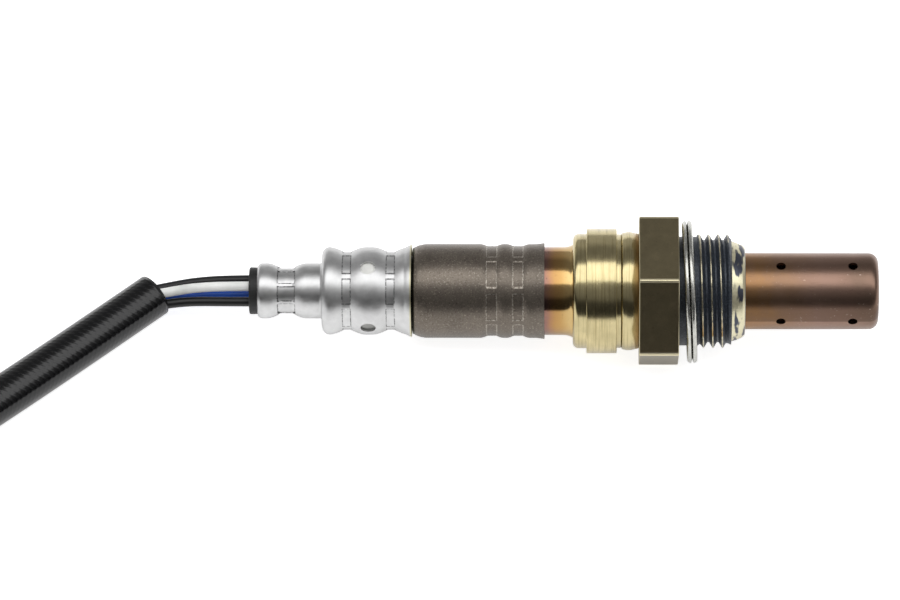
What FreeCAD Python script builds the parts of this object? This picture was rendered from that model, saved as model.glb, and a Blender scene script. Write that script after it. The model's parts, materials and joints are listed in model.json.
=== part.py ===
import FreeCAD
import Part
import math
import os

# Heated four-wire exhaust oxygen sensor, millimetres.
# Each piece is drawn about the sensor's own axis: x = 0 on the seat face of the hexagon,
# +x towards the probe tip. lay_down() then tips the finished piece into the pose in which
# a loose sensor comes to rest: on one flat of the hexagon, with its tail on the ground.

# Clearances between pieces that fit in one another
close_fit = 0.05
sliding_gap = 0.03
seat_gap = 0.3

# Roundings smaller than this are cut as plain chamfers
least_arc = 1.05

# Housing: one steel piece with nose, thread, hexagon and rolled rear collar
across_flats = 22.0
hexagon_length = 6.25
hexagon_corner_rounding = 0.5
hexagon_core_inset = 1.5
thread_diameter = 18.0
thread_length = 5.4
thread_chamfer = 0.5
neck_step = 0.4
neck_length = 2.9
nose_taper = 0.75
nose_wall = 0.55
nose_length = 2.3
nose_rounding = 1.1
nose_lip = 0.6
buckle_diameter = 18.6
buckle_length = 2.65
buckle_rounding = 1.1
buckle_root_diameter = 17.7
buckle_root_length = 0.2
groove_diameter = 18.0
groove_length = 0.64
collar_step = 0.8
collar_length = 4.8
collar_rounding = 0.4
lip_wall = 0.95
lip_length = 2.15
lip_rounding = 1.2
lip_thickness = 0.8
neck_wall = 1.7
front_bore_diameter = 9.9
ledge_depth = 1.5

# Seat gasket: folded sheet ring, loose on the neck
gasket_width = 2.4
gasket_play = 0.25
gasket_thickness = 1.6
gasket_fold_rounding = 0.55
gasket_fold_groove = 0.25
gasket_lean_deg = 2.4
gasket_lean_side_deg = 45.0
gasket_centre = 1.75

# Probe: outer and inner protection covers
cover_diameter = 12.06
cover_length = 21.2
cover_wall = 0.5
cover_corner_rounding = 1.5
cover_dome = 0.25
cover_flange_width = 0.77
gas_hole_diameter = 1.5
gas_hole_rows = (16.0, 27.3)
gas_holes_per_row = 4
gas_hole_angle_deg = -1.0
inner_cover_side_gap = 1.03
inner_cover_wall = 0.4
inner_cover_corner_rounding = 1.0
inner_cover_end_gap = 0.3
inner_hole_diameter = 1.2
inner_hole_rows = (13.6, 21.6)
inner_holes_per_row = 6
inner_end_hole_diameter = 2.0

# Ceramic sensing element, its heater and the packing that seals it in the housing
element_collar_gap = 0.4
element_collar_length = 3.0
element_collar_rounding = 0.5
element_root_inset = 0.4
element_root_taper = 1.0
element_side_gap = 0.8
element_tip_side_wall = 0.9
element_tip_gap = 1.6
element_shank_diameter = 8.0
element_shank_length = 17.2
element_bore_gap = 0.55
element_tip_bore_gap = 0.1
element_tip_wall = 1.0
element_tip_rounding = 1.9
element_tip_bore_rounding = 0.9
washer_thickness = 0.3
washer_hole_gap = 0.1
bush_length = 7.6
backing_ring_thickness = 0.8
backing_ring_hole_diameter = 9.2
packing_side_gap = 0.05
heater_diameter = 2.8
heater_end_chamfer = 0.3
heater_tip_gap = 0.5

# Heat-tinted inner tube, clamped under the rolled lip
tube_wall = 0.5
tube_flange_step = 1.2
tube_flange_width = 0.75
tube_root_step = 0.42
tube_root_length = 0.75

# Outer cover crimped on the inner tube, with a neck under the cap
shell_wall = 0.48
shell_tube_gap = 0.02
shell_front_gap = 4.45
shell_length = 20.9
shell_flare = 0.2
shell_flare_length = 1.3
shell_shoulder_rounding = 1.2
shell_crimp_places = (4.3, 8.5)
shell_crimp_width = 1.3
shell_crimp_ramp = 0.5
shell_crimp_depth = 0.4
shell_crimp_angle_deg = 14.9

# Cap over the vent filter and round the grommet
cap_step = 0.48
cap_wall = 0.4
cap_lip_flare = 0.25
cap_lip_length = 1.6
cap_length = 13.95
cap_shoulder_rounding = 1.3
cap_front_crimp_place = 3.1
cap_rear_crimp_place = 3.7
cap_crimp_width = 1.0
cap_crimp_ramp = 0.75
cap_crimp_depth = 1.0
cap_crimp_angle_deg = 36.9
cap_tail_diameter = 8.76
cap_tail_length = 10.5
cap_tail_rounding = 0.9
cap_tail_crimp_place = 5.7
cap_tail_crimp_width = 2.0
cap_tail_crimp_ramp = 0.5
cap_tail_crimp_depth = 0.9
cap_tail_crimp_angle_deg = 41.9
vent_diameter = 2.4
vent_count = 4
vent_angle_deg = 5.6
crimp_sides = 8
jaw_clearance = 0.15
jaw_opening = 6.0
filter_end_inset = 1.3
filter_thickness = 0.95
filter_pressed_thickness = 0.35

# Terminal insulator and the four contacts
insulator_side_gap = 0.08
insulator_front_length = 9.2
insulator_corner_rounding = 0.9
insulator_rear_gap = 0.3
insulator_rear_length = 6.95
contact_hole_play = 0.325
contact_hole_wall = 0.35
heater_socket_length = 7.5
barrel_wall = 0.22
barrel_length = 4.0
barrel_bottom = 0.3
barrel_inset = 1.4
strip_thickness = 0.3
strip_width = 1.2
clip_wall = 0.4
clip_length = 4.0
clip_slot_width = 1.0
heater_leaf_length = 3.5
strip_bend_gap = 1.5
strip_slope_length = 4.5

# Grommet and leads
grommet_flange_length = 1.35
grommet_tip_diameter = 7.3
grommet_tip_length = 1.0
grommet_tip_rounding = 0.25
lead_diameter = 1.52
lead_web = 0.94
lead_angle_deg = 14.8
lead_names = ("lead_black_rear", "lead_white", "lead_black_front", "lead_blue")

# Harness: sleeve round the four leads, one coil of it and a plug
sleeve_diameter = 7.0
sleeve_wall = 0.6
sleeve_heading_deg = 223.3
bundle_gap = 0.047
coil_radius = 38.0
coil_clearance = 0.05
coil_points_per_turn = 15
coil_rise_from_deg = 245.0
coil_rise_to_deg = 325.0
tie_thickness = 0.8
tie_width = 4.8
tie_clearance = 0.2
tie_head = (6.0, 5.0, 4.4)
exit_heading_deg = 90.0
plug_distance = 32.0

# Hand-chosen points of the harness. Behind the grommet: distance, y, and height over the sleeve's middle
mouth_place = (14.75, -0.06, 0.45)
bundle_approach = ((8.44, 0.0, 1.35), (11.64, 0.0, 0.8), (15.14, -0.38, 0.35))
# In the sleeve: distance from its mouth, height over its middle and sideways
bundle_in_sleeve = ((3.6, 0.25, 0.72), (9.0, 0.15, 0.5), (26.0, -0.15, 0.0))
# Distances from the mouth where the sleeve lies down, where it is up at the tie's height, and the coil
sleeve_places = (26.0, 47.0, 60.7)
# Behind the coil: distance and drop from the coil's upper layer
tail_places = ((8.0, 0.0), (16.0, 0.6))
# Leads from the end of the tail to the plug: distance and height over the plug's middle
fan_places = ((17.5, 3.0), (23.0, 1.4))
fan_radius = 1.9
fan_turn_deg = 15.0
fan_end = 28.0

# Plug: body, wire seal, edge seal, terminal lock and four socket terminals
plug_width = 19.0
plug_height = 15.5
plug_block_length = 15.0
plug_corner_rounding = 2.0
plug_nose_width = 15.4
plug_nose_height = 11.9
plug_nose_length = 9.5
plug_nose_rounding = 1.8
plug_nib = (6.0, 6.0, 1.5)
plug_nib_place = 5.0
plug_nib_root = 0.5
terminal_pitch = 4.2
terminal_cavity_gap = 0.1
terminal_box = 2.3
terminal_wall = 0.3
terminal_barrel_length = 4.0
wire_seal_width = 13.6
wire_seal_height = 11.4
wire_seal_length = 7.0
wire_seal_inset = 1.0
wire_seal_rounding = 3.0
wire_seal_rib = 0.25
edge_seal_width = 2.8
edge_seal_thickness = 0.9
lock_thickness = 2.5
lock_hole = 1.9

ORIGIN = FreeCAD.Vector(0, 0, 0)
X_AXIS = FreeCAD.Vector(1, 0, 0)
Y_AXIS = FreeCAD.Vector(0, 1, 0)
Z_AXIS = FreeCAD.Vector(0, 0, 1)

# Diameters worked out from the sizes above: thread to bore, then bore outwards
neck_diameter = thread_diameter - 2 * neck_step
main_bore_diameter = neck_diameter - 2 * neck_wall
element_collar_diameter = main_bore_diameter - 2 * element_collar_gap
tube_flange_diameter = main_bore_diameter + 2 * tube_flange_step
lip_diameter = tube_flange_diameter + 2 * lip_wall
collar_diameter = lip_diameter + 2 * collar_step
tube_root_diameter = tube_flange_diameter - 2 * tube_flange_width
tube_diameter = tube_root_diameter - 2 * tube_root_step
shell_diameter = tube_diameter + 2 * (shell_wall + shell_tube_gap)
cap_diameter = shell_diameter - 2 * cap_step
shell_neck_diameter = cap_diameter - 2 * (cap_wall + filter_thickness + 2 * close_fit)
insulator_diameter = tube_diameter - 2 * (tube_wall + insulator_side_gap)
gasket_hole_diameter = neck_diameter + 2 * gasket_play
gasket_diameter = gasket_hole_diameter + 2 * gasket_width
cover_flange_diameter = cover_diameter + 2 * cover_flange_width
nose_end_diameter = cover_flange_diameter + 2 * nose_wall
nose_base_diameter = nose_end_diameter + 2 * nose_taper
inner_cover_diameter = cover_diameter - 2 * (cover_wall + inner_cover_side_gap)
element_front_diameter = inner_cover_diameter - 2 * (inner_cover_wall + element_side_gap)
element_bore_diameter = heater_diameter + 2 * element_bore_gap
element_tip_bore_diameter = heater_diameter + 2 * element_tip_bore_gap
element_tip_diameter = element_tip_bore_diameter + 2 * element_tip_side_wall
washer_hole_diameter = front_bore_diameter + 2 * washer_hole_gap
contact_hole_diameter = lead_diameter + 2 * contact_hole_play
lead_circle_radius = (lead_diameter + lead_web) / math.sqrt(2)
bundle_radius = (lead_diameter + bundle_gap) / math.sqrt(2)
terminal_cavity = terminal_box + 2 * terminal_cavity_gap

# Stations along the axis, worked out from the sizes above
thread_end = neck_length + thread_length
nose_end = thread_end + nose_length
cover_tip = nose_end + cover_length
cover_flange_front = nose_end - nose_lip
inner_flange_front = cover_flange_front - cover_wall
inner_flange_rear = inner_flange_front - inner_cover_wall
inner_cover_tip = cover_tip - cover_wall - inner_cover_end_gap
element_tip = inner_cover_tip - inner_cover_wall - element_tip_gap

hexagon_rear = -hexagon_length
buckle_front = hexagon_rear - buckle_root_length
buckle_rear = buckle_front - buckle_length
groove_rear = buckle_rear - groove_length
collar_rear = groove_rear - collar_length
lip_rear = collar_rear - lip_length
tube_flange_rear = lip_rear + lip_thickness
tube_flange_front = tube_flange_rear + tube_wall
backing_ring_front = tube_flange_front + backing_ring_thickness
bush_front = backing_ring_front + bush_length
collar_seat = ledge_depth - washer_thickness
element_collar_rear = collar_seat - element_collar_length
element_rear = element_collar_rear - element_shank_length

shell_front = lip_rear - shell_front_gap
shell_shoulder = shell_front - shell_length
tube_rear = shell_shoulder + shell_shoulder_rounding + close_fit
insulator_seat = shell_shoulder + shell_wall
insulator_front = insulator_seat + insulator_front_length
insulator_rear = insulator_seat - insulator_rear_length
heater_rear = insulator_front - heater_socket_length + seat_gap

cap_front = shell_shoulder - seat_gap
cap_shoulder = cap_front - cap_length
cap_rear = cap_shoulder - cap_tail_length
shell_rear = cap_shoulder + cap_wall + grommet_flange_length
cap_crimp_stations = [cap_front - cap_front_crimp_place, cap_shoulder + cap_rear_crimp_place]
vent_station = sum(cap_crimp_stations) / 2
shell_crimp_stations = [shell_front - place for place in shell_crimp_places]
tail_crimp_station = cap_shoulder - cap_tail_crimp_place
grommet_rear = cap_rear - grommet_tip_length
barrel_rear = insulator_rear + barrel_inset
barrel_front = barrel_rear + barrel_length

# Flats that the crimping jaws leave, given as half the distance across flats
cap_flat = cap_diameter / 2 - cap_crimp_depth
filter_flat = cap_flat - cap_wall - close_fit
neck_flat = filter_flat - filter_pressed_thickness - close_fit
shell_flat = shell_diameter / 2 - shell_crimp_depth
tube_flat = shell_flat - shell_wall - close_fit
tail_flat = cap_tail_diameter / 2 - cap_tail_crimp_depth
grommet_flat = tail_flat - cap_wall - close_fit
insulator_rear_diameter = 2 * (neck_flat - shell_wall - insulator_rear_gap)
contact_circle_radius = (insulator_rear_diameter - contact_hole_diameter) / 2 - contact_hole_wall

# Rest on the hexagon's rear lower edge and on the cap's rounded shoulder
shoulder_run = -(cap_shoulder + cap_shoulder_rounding) - hexagon_length
shoulder_rise = across_flats / 2 - (cap_diameter / 2 - cap_shoulder_rounding)
rest_tilt = (math.atan2(shoulder_rise, shoulder_run)
             - math.asin(cap_shoulder_rounding / math.hypot(shoulder_rise, shoulder_run)))
ground = -(across_flats / 2 * math.cos(rest_tilt) + hexagon_length * math.sin(rest_tilt))


def vector(x, y, z):
    return FreeCAD.Vector(x, y, z)


def lay_down(shape):
    """Tip a piece drawn about the sensor's axis into the resting pose."""
    laid = shape.copy()
    laid.rotate(ORIGIN, Y_AXIS, -math.degrees(rest_tilt))
    return laid


def laid_point(x, y, z):
    """A point of the sensor's own axes, after lay_down."""
    cosine = math.cos(rest_tilt)
    sine = math.sin(rest_tilt)
    return vector(x * cosine - z * sine, y, x * sine + z * cosine)


def rounded_edges(points, radii, closed, least=0):
    """Straight runs between points, joined by tangent arcs, or by chamfers below the least radius."""
    count = len(points)
    starts = []
    ends = []
    arcs = []
    for index, point in enumerate(points):
        radius = radii[index]
        inside = closed or 0 < index < count - 1
        if radius <= 0 or not inside:
            starts.append(point)
            ends.append(point)
            arcs.append(None)
            continue
        before = (points[index - 1] - point).normalize()
        after = (points[(index + 1) % count] - point).normalize()
        half_turn = (math.pi - before.getAngle(after)) / 2
        reach = radius * math.tan(half_turn)
        inward = (before + after).normalize()
        middle = point + inward * (radius / math.cos(half_turn) - radius)
        starts.append(point + before * reach)
        ends.append(point + after * reach)
        if radius < least:
            arcs.append(Part.LineSegment(starts[-1], ends[-1]).toShape())
        else:
            arcs.append(Part.Arc(starts[-1], middle, ends[-1]).toShape())
    edges = []
    for index in range(count):
        if arcs[index] is not None:
            edges.append(arcs[index])
        following = (index + 1) % count
        if following == 0 and not closed:
            break
        if ends[index].distanceToPoint(starts[following]) > 1e-6:
            edges.append(Part.LineSegment(ends[index], starts[following]).toShape())
    return edges


def corner_parts(corners):
    """Split corners of x, radius and optional rounding into points and roundings."""
    points = [vector(corner[0], 0, corner[1]) for corner in corners]
    radii = [corner[2] if len(corner) > 2 else 0 for corner in corners]
    return points, radii


def turned(corners):
    """Solid turned about the sensor's axis from corners of x, radius and rounding."""
    points, radii = corner_parts(corners)
    face = Part.Face(Part.Wire(rounded_edges(points, radii, True, least_arc)))
    return face.revolve(ORIGIN, X_AXIS, 360)


def about_axis(shape, angle_deg):
    moved = shape.copy()
    moved.rotate(ORIGIN, X_AXIS, angle_deg)
    return moved


def rod(diameter, x_from, x_to, radius=0, angle_deg=0):
    """Cylinder along the axis, on a circle of the given radius round it."""
    start = vector(x_from, radius, 0)
    return about_axis(Part.makeCylinder(diameter / 2, x_to - x_from, start, X_AXIS), angle_deg)


def radial_holes(diameter, station, count, first_deg, reach):
    """Drills through a wall from the axis outwards, evenly spaced round it."""
    drills = []
    for index in range(count):
        drill = Part.makeCylinder(diameter / 2, reach, vector(station, 0, 0), Y_AXIS)
        drills.append(about_axis(drill, first_deg + index * 360 / count))
    return drills


def cut_all(shape, tools):
    for tool in tools:
        shape = shape.cut(tool)
    return shape


def polygon_section(station, flat, sides, angle_deg):
    """Regular polygon across the axis, flat given as half the distance across flats."""
    reach = flat / math.cos(math.pi / sides)
    points = []
    for index in range(sides + 1):
        angle = math.radians(angle_deg) + (2 * index + 1) * math.pi / sides
        points.append(vector(station, reach * math.cos(angle), reach * math.sin(angle)))
    return Part.makePolygon(points)


def jaw_space(shape, stations, flat, width, ramp, depth, angle_deg):
    """Press rings of flats into a shape: the eight jaws leave a narrow waist at each station."""
    rise = flat + depth + jaw_clearance
    wide = flat + jaw_opening
    stations = sorted(stations)
    first = stations[0] - width / 2 - ramp
    last = stations[-1] + width / 2 + ramp
    profile = [(grommet_rear - jaw_opening, wide), (first - 2 * ramp, wide)]
    for station in stations:
        profile.append((station - width / 2 - ramp, rise))
        profile.append((station - width / 2, flat))
        profile.append((station + width / 2, flat))
        profile.append((station + width / 2 + ramp, rise))
    profile += [(last + 2 * ramp, wide), (jaw_opening, wide)]
    wires = [polygon_section(x, reach, crimp_sides, angle_deg) for x, reach in profile]
    return shape.common(Part.makeLoft(wires, True, True))


def cap_jaws(shape, flat):
    """Press the two rings of the cap's large part into a shape."""
    return jaw_space(shape, cap_crimp_stations, flat, cap_crimp_width, cap_crimp_ramp,
                     cap_crimp_depth, cap_crimp_angle_deg)


def shell_jaws(shape, flat):
    """Press the two rings that join the outer cover to the inner tube into a shape."""
    return jaw_space(shape, shell_crimp_stations, flat, shell_crimp_width, shell_crimp_ramp,
                     shell_crimp_depth, shell_crimp_angle_deg)


def tail_jaws(shape, flat):
    """Press the ring of the cap's small part into a shape."""
    return jaw_space(shape, [tail_crimp_station], flat, cap_tail_crimp_width, cap_tail_crimp_ramp,
                     cap_tail_crimp_depth, cap_tail_crimp_angle_deg)


def housing():
    """Hexagon, thread, staked nose, hot-crimp buckle and rolled collar in one piece."""
    body_radius = across_flats / 2 - hexagon_core_inset
    outside = turned([
        (nose_end, 0),
        (nose_end, nose_end_diameter / 2, nose_rounding),
        (thread_end, nose_base_diameter / 2),
        (thread_end, thread_diameter / 2 - thread_chamfer),
        (thread_end - thread_chamfer, thread_diameter / 2),
        (neck_length, thread_diameter / 2),
        (neck_length, neck_diameter / 2),
        (0, neck_diameter / 2),
        (-hexagon_length / 4, body_radius),
        (hexagon_rear + hexagon_length / 4, body_radius),
        (hexagon_rear, buckle_root_diameter / 2),
        (buckle_front, buckle_root_diameter / 2),
        (buckle_front, buckle_diameter / 2, buckle_rounding),
        (buckle_rear, buckle_diameter / 2, buckle_rounding),
        (buckle_rear, groove_diameter / 2),
        (groove_rear, groove_diameter / 2),
        (groove_rear, collar_diameter / 2, collar_rounding),
        (collar_rear, collar_diameter / 2, collar_rounding),
        (collar_rear, lip_diameter / 2),
        (lip_rear, lip_diameter / 2, lip_rounding),
        (lip_rear, 0),
    ])
    corner = across_flats / 2 / math.cos(math.pi / 6)
    angles = [index * math.pi / 3 for index in range(6)]
    points = [vector(hexagon_rear, corner * math.cos(angle), corner * math.sin(angle)) for angle in angles]
    outline = Part.Wire(rounded_edges(points, [hexagon_corner_rounding] * 6, True))
    hexagon = Part.Face(outline).extrude(vector(hexagon_length, 0, 0))
    lip_hole = tube_root_diameter / 2 + close_fit
    flange_bore = tube_flange_diameter / 2 + close_fit
    bore = turned([
        (nose_end + 1, 0),
        (nose_end + 1, cover_diameter / 2 + close_fit),
        (cover_flange_front, cover_diameter / 2 + close_fit),
        (cover_flange_front, cover_flange_diameter / 2 + close_fit),
        (inner_flange_rear, cover_flange_diameter / 2 + close_fit),
        (inner_flange_rear, front_bore_diameter / 2),
        (ledge_depth, front_bore_diameter / 2),
        (ledge_depth, main_bore_diameter / 2),
        (tube_flange_front, main_bore_diameter / 2),
        (tube_flange_front, flange_bore),
        (tube_flange_rear, flange_bore),
        (tube_flange_rear, lip_hole),
        (lip_rear - 1, lip_hole),
        (lip_rear - 1, 0),
    ])
    return outside.fuse(hexagon).cut(bore).removeSplitter()


def gasket_ring():
    """Folded sheet ring that hangs on the neck, leaning towards the hexagon above and on the far side."""
    half = gasket_thickness / 2
    outer = gasket_diameter / 2
    inner = gasket_hole_diameter / 2
    ring = turned([
        (-half, inner, gasket_fold_rounding),
        (half, inner, gasket_fold_rounding),
        (half, outer, gasket_fold_rounding),
        (gasket_fold_groove / 2, outer),
        (0, outer - 2 * gasket_fold_groove),
        (-gasket_fold_groove / 2, outer),
        (-half, outer, gasket_fold_rounding),
    ])
    drop = (gasket_hole_diameter - neck_diameter) / 2 - close_fit - gasket_thickness / 2 * math.sin(
        math.radians(gasket_lean_deg))
    side = math.radians(gasket_lean_side_deg)
    ring.rotate(ORIGIN, vector(0, -math.sin(side), math.cos(side)), gasket_lean_deg)
    ring.translate(vector(gasket_centre, 0, -drop))
    return ring


def drawn_cup(tip, flange_front, diameter, wall, flange, corner, dome):
    """Deep-drawn cover: flange in the nose, straight wall and a slightly domed end."""
    radius = diameter / 2
    inner = radius - wall
    flange_rear = flange_front - wall
    return turned([
        (flange_rear, inner),
        (flange_rear, flange / 2),
        (flange_front, flange / 2),
        (flange_front, radius),
        (tip - dome, radius, corner),
        (tip, 0),
        (tip - wall, 0),
        (tip - wall - dome, inner, corner - wall),
    ])


def outer_protection_cover():
    cup = drawn_cup(cover_tip, cover_flange_front, cover_diameter, cover_wall,
                    cover_flange_diameter, cover_corner_rounding, cover_dome)
    for station in gas_hole_rows:
        cup = cut_all(cup, radial_holes(gas_hole_diameter, station, gas_holes_per_row,
                                        gas_hole_angle_deg, cover_diameter))
    return cup


def inner_protection_cover():
    cup = drawn_cup(inner_cover_tip, inner_flange_front, inner_cover_diameter, inner_cover_wall,
                    cover_flange_diameter, inner_cover_corner_rounding, 0)
    for row, station in enumerate(inner_hole_rows):
        first = gas_hole_angle_deg + 45 + row * 180 / inner_holes_per_row
        cup = cut_all(cup, radial_holes(inner_hole_diameter, station, inner_holes_per_row,
                                        first, inner_cover_diameter))
    return cup.cut(rod(inner_end_hole_diameter, inner_cover_tip - 2, inner_cover_tip + 2))


def sensing_element():
    """Closed-end zirconia thimble with a seating collar."""
    tip_radius = element_tip_diameter / 2
    tip_bore = element_tip_bore_diameter / 2
    bore_end = element_tip - element_tip_wall
    return turned([
        (element_rear, element_bore_diameter / 2),
        (element_rear, element_shank_diameter / 2),
        (element_collar_rear, element_shank_diameter / 2),
        (element_collar_rear, element_collar_diameter / 2, element_collar_rounding),
        (collar_seat, element_collar_diameter / 2, element_collar_rounding),
        (collar_seat, washer_hole_diameter / 2 - element_root_inset),
        (ledge_depth + element_root_taper, element_front_diameter / 2),
        (element_tip, tip_radius, element_tip_rounding),
        (element_tip, 0),
        (bore_end, 0),
        (bore_end, tip_bore, element_tip_bore_rounding),
        (collar_seat, element_bore_diameter / 2),
    ])


def heater_rod():
    chamfer = heater_end_chamfer
    radius = heater_diameter / 2
    tip = element_tip - element_tip_wall - heater_tip_gap
    return turned([
        (heater_rear, 0),
        (heater_rear, radius - chamfer),
        (heater_rear + chamfer, radius),
        (tip - chamfer, radius),
        (tip, radius - chamfer),
        (tip, 0),
    ])


def packing(x_from, x_to, hole_diameter):
    """Ring in the housing's main bore."""
    outer = main_bore_diameter / 2 - packing_side_gap
    inner = hole_diameter / 2
    return turned([(x_from, inner), (x_from, outer), (x_to, outer), (x_to, inner)])


def inner_tube():
    """Metal tube with a root flange, crimped together with the outer cover."""
    radius = tube_diameter / 2
    root = tube_root_diameter / 2
    outside = turned([
        (tube_rear, 0),
        (tube_rear, radius),
        (lip_rear - tube_root_length, radius),
        (lip_rear, root),
        (tube_flange_rear, root),
        (tube_flange_rear, tube_flange_diameter / 2),
        (tube_flange_front, tube_flange_diameter / 2),
        (tube_flange_front, 0),
    ])
    inside = rod(tube_diameter - 2 * tube_wall, tube_rear - 1, tube_flange_front + 1)
    return shell_jaws(outside, tube_flat).cut(shell_jaws(inside, tube_flat - tube_wall))


def shell_profile(inset):
    """Outer cover's outline, moved inwards by inset."""
    radius = shell_diameter / 2 - inset
    shoulder = shell_shoulder + inset
    open_end = 0 if inset == 0 else 1
    return [
        (shell_rear - open_end, 0),
        (shell_rear - open_end, shell_neck_diameter / 2 - inset),
        (shoulder, shell_neck_diameter / 2 - inset),
        (shoulder, radius, shell_shoulder_rounding - inset),
        (shell_front - shell_flare_length, radius),
        (shell_front, radius + shell_flare),
        (shell_front + open_end, radius + shell_flare),
        (shell_front + open_end, 0),
    ]


def outer_cover():
    """Dark outer cover: shoulder, vented neck under the cap and two crimped rings."""
    outside = cap_jaws(shell_jaws(turned(shell_profile(0)), shell_flat), neck_flat)
    inside = shell_jaws(turned(shell_profile(shell_wall)), shell_flat - shell_wall)
    inside = cap_jaws(inside, neck_flat - shell_wall)
    cover = outside.cut(inside)
    return cut_all(cover, radial_holes(vent_diameter, vent_station, vent_count,
                                       vent_angle_deg, shell_neck_diameter))


def vent_filter():
    """Porous sleeve between the neck and the cap, pinched by the cap's crimped rings."""
    x_from = shell_rear + filter_end_inset / 2
    x_to = cap_front - filter_end_inset
    outside = rod(cap_diameter - 2 * cap_wall - 2 * close_fit, x_from, x_to)
    inside = rod(shell_neck_diameter + 2 * close_fit, x_from - 1, x_to + 1)
    pressed = filter_flat - filter_pressed_thickness
    return cap_jaws(outside, filter_flat).cut(cap_jaws(inside, pressed))


def cap_profile(inset):
    """Cap's outline, moved inwards by inset."""
    radius = cap_diameter / 2 - inset
    tail = cap_tail_diameter / 2 - inset
    shoulder = cap_shoulder + inset
    open_end = 0 if inset == 0 else 1
    return [
        (cap_rear + inset, 0),
        (cap_rear + inset, tail, cap_tail_rounding - inset),
        (shoulder, tail),
        (shoulder, radius, cap_shoulder_rounding - inset),
        (cap_front - cap_lip_length, radius),
        (cap_front, radius + cap_lip_flare),
        (cap_front + open_end, radius + cap_lip_flare),
        (cap_front + open_end, 0),
    ]


def rear_cap():
    """Bright cap: lip, two crimped rings, vents, shoulder and a crimped tail."""
    outside = tail_jaws(cap_jaws(turned(cap_profile(0)), cap_flat), tail_flat)
    inside = cap_jaws(turned(cap_profile(cap_wall)), cap_flat - cap_wall)
    inside = tail_jaws(inside, tail_flat - cap_wall)
    cap = outside.cut(inside)
    cap = cap.cut(rod(grommet_tip_diameter + 2 * close_fit, cap_rear - 1, cap_rear + 1))
    return cut_all(cap, radial_holes(vent_diameter, vent_station, vent_count,
                                     vent_angle_deg, cap_diameter))


def terminal_insulator():
    """Ceramic block that keeps the four contacts apart and holds the heater's end."""
    block = turned([
        (insulator_rear, 0),
        (insulator_rear, insulator_rear_diameter / 2),
        (insulator_seat, insulator_rear_diameter / 2),
        (insulator_seat, insulator_diameter / 2, insulator_corner_rounding),
        (insulator_front, insulator_diameter / 2, insulator_corner_rounding / 2),
        (insulator_front, 0),
    ])
    socket = rod(heater_diameter + 4 * close_fit, insulator_front - heater_socket_length,
                 insulator_front + 1)
    holes = [rod(contact_hole_diameter, insulator_rear - 1, insulator_front + 1,
                 contact_circle_radius, lead_angle_deg + 90 * index) for index in range(4)]
    return cut_all(block, [socket] + holes)


def contact(angle_deg, clip_radius, clip_front):
    """Crimp barrel in the insulator and a strip that steps to the clip's radius."""
    inner = lead_diameter / 2 + sliding_gap
    outer = inner + barrel_wall
    circle = contact_circle_radius
    barrel = rod(2 * outer, barrel_rear, barrel_front, circle)
    bore = rod(2 * inner, barrel_rear - 1, barrel_front - barrel_bottom, circle)
    half = strip_thickness / 2
    bend = insulator_front + strip_bend_gap
    landing = bend + strip_slope_length
    side = [
        (barrel_front - barrel_bottom, circle - half),
        (bend, circle - half),
        (landing, clip_radius - half),
        (clip_front, clip_radius - half),
        (clip_front, clip_radius + half),
        (landing, clip_radius + half),
        (bend, circle + half),
        (barrel_front - barrel_bottom, circle + half),
    ]
    points = [vector(x, radius, -strip_width / 2) for x, radius in side]
    strip = Part.Face(Part.makePolygon(points + points[:1])).extrude(vector(0, 0, strip_width))
    return about_axis(barrel.cut(bore).fuse(strip), angle_deg)


def clip_ring(inner, x_from, x_to, slot_deg):
    """Springy split ring."""
    outer = inner + clip_wall
    ring = turned([(x_from, inner), (x_from, outer), (x_to, outer), (x_to, inner)])
    slot = Part.makeBox(x_to - x_from + 2, outer + 1, clip_slot_width,
                        vector(x_from - 1, 0, -clip_slot_width / 2))
    return ring.cut(about_axis(slot, slot_deg))


def lead_angle(index):
    return lead_angle_deg + 90 * index


def heater_contact(index):
    """Leaf that rests on the heater's rear end."""
    seat = heater_diameter / 2 + close_fit + strip_thickness / 2
    landing = insulator_front + strip_bend_gap + strip_slope_length
    return contact(lead_angle(index), seat, landing + heater_leaf_length)


def signal_contact(index):
    """Split ring inside the element's bore."""
    inner = element_bore_diameter / 2 - close_fit - clip_wall
    x_from = element_rear - clip_length / 2
    ring = clip_ring(inner, x_from, x_from + clip_length, lead_angle(index) + 180)
    strip = contact(lead_angle(index), inner + clip_wall / 2, x_from + clip_length / 2)
    return ring.fuse(strip)


def ground_contact(index):
    """Split ring round the element's shank."""
    inner = element_shank_diameter / 2 + close_fit
    x_from = element_rear - clip_length / 4
    ring = clip_ring(inner, x_from, x_from + clip_length, lead_angle(index) + 180)
    strip = contact(lead_angle(index), inner + clip_wall / 2, x_from + clip_length / 2)
    return ring.fuse(strip)


def grommet():
    """Rubber seal trapped between the neck and the cap, crimped in the cap's tail."""
    flange = cap_diameter / 2 - cap_wall - close_fit
    body = cap_tail_diameter / 2 - cap_wall - close_fit
    inner_end = cap_rear + cap_wall
    shape = turned([
        (grommet_rear, 0),
        (grommet_rear, grommet_tip_diameter / 2, grommet_tip_rounding),
        (inner_end, grommet_tip_diameter / 2),
        (inner_end, body, cap_tail_rounding - cap_wall),
        (cap_shoulder + cap_wall, body),
        (cap_shoulder + cap_wall, flange, cap_shoulder_rounding - cap_wall),
        (shell_rear, flange),
        (shell_rear, 0),
    ])
    shape = tail_jaws(shape, grommet_flat)
    hole = lead_diameter + 2 * sliding_gap
    holes = [rod(hole, grommet_rear - 1, shell_rear + 1, lead_circle_radius, lead_angle(index))
             for index in range(4)]
    return cut_all(shape, holes)


def level_heading(angle_deg):
    angle = math.radians(angle_deg)
    return vector(math.cos(angle), math.sin(angle), 0)


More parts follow.
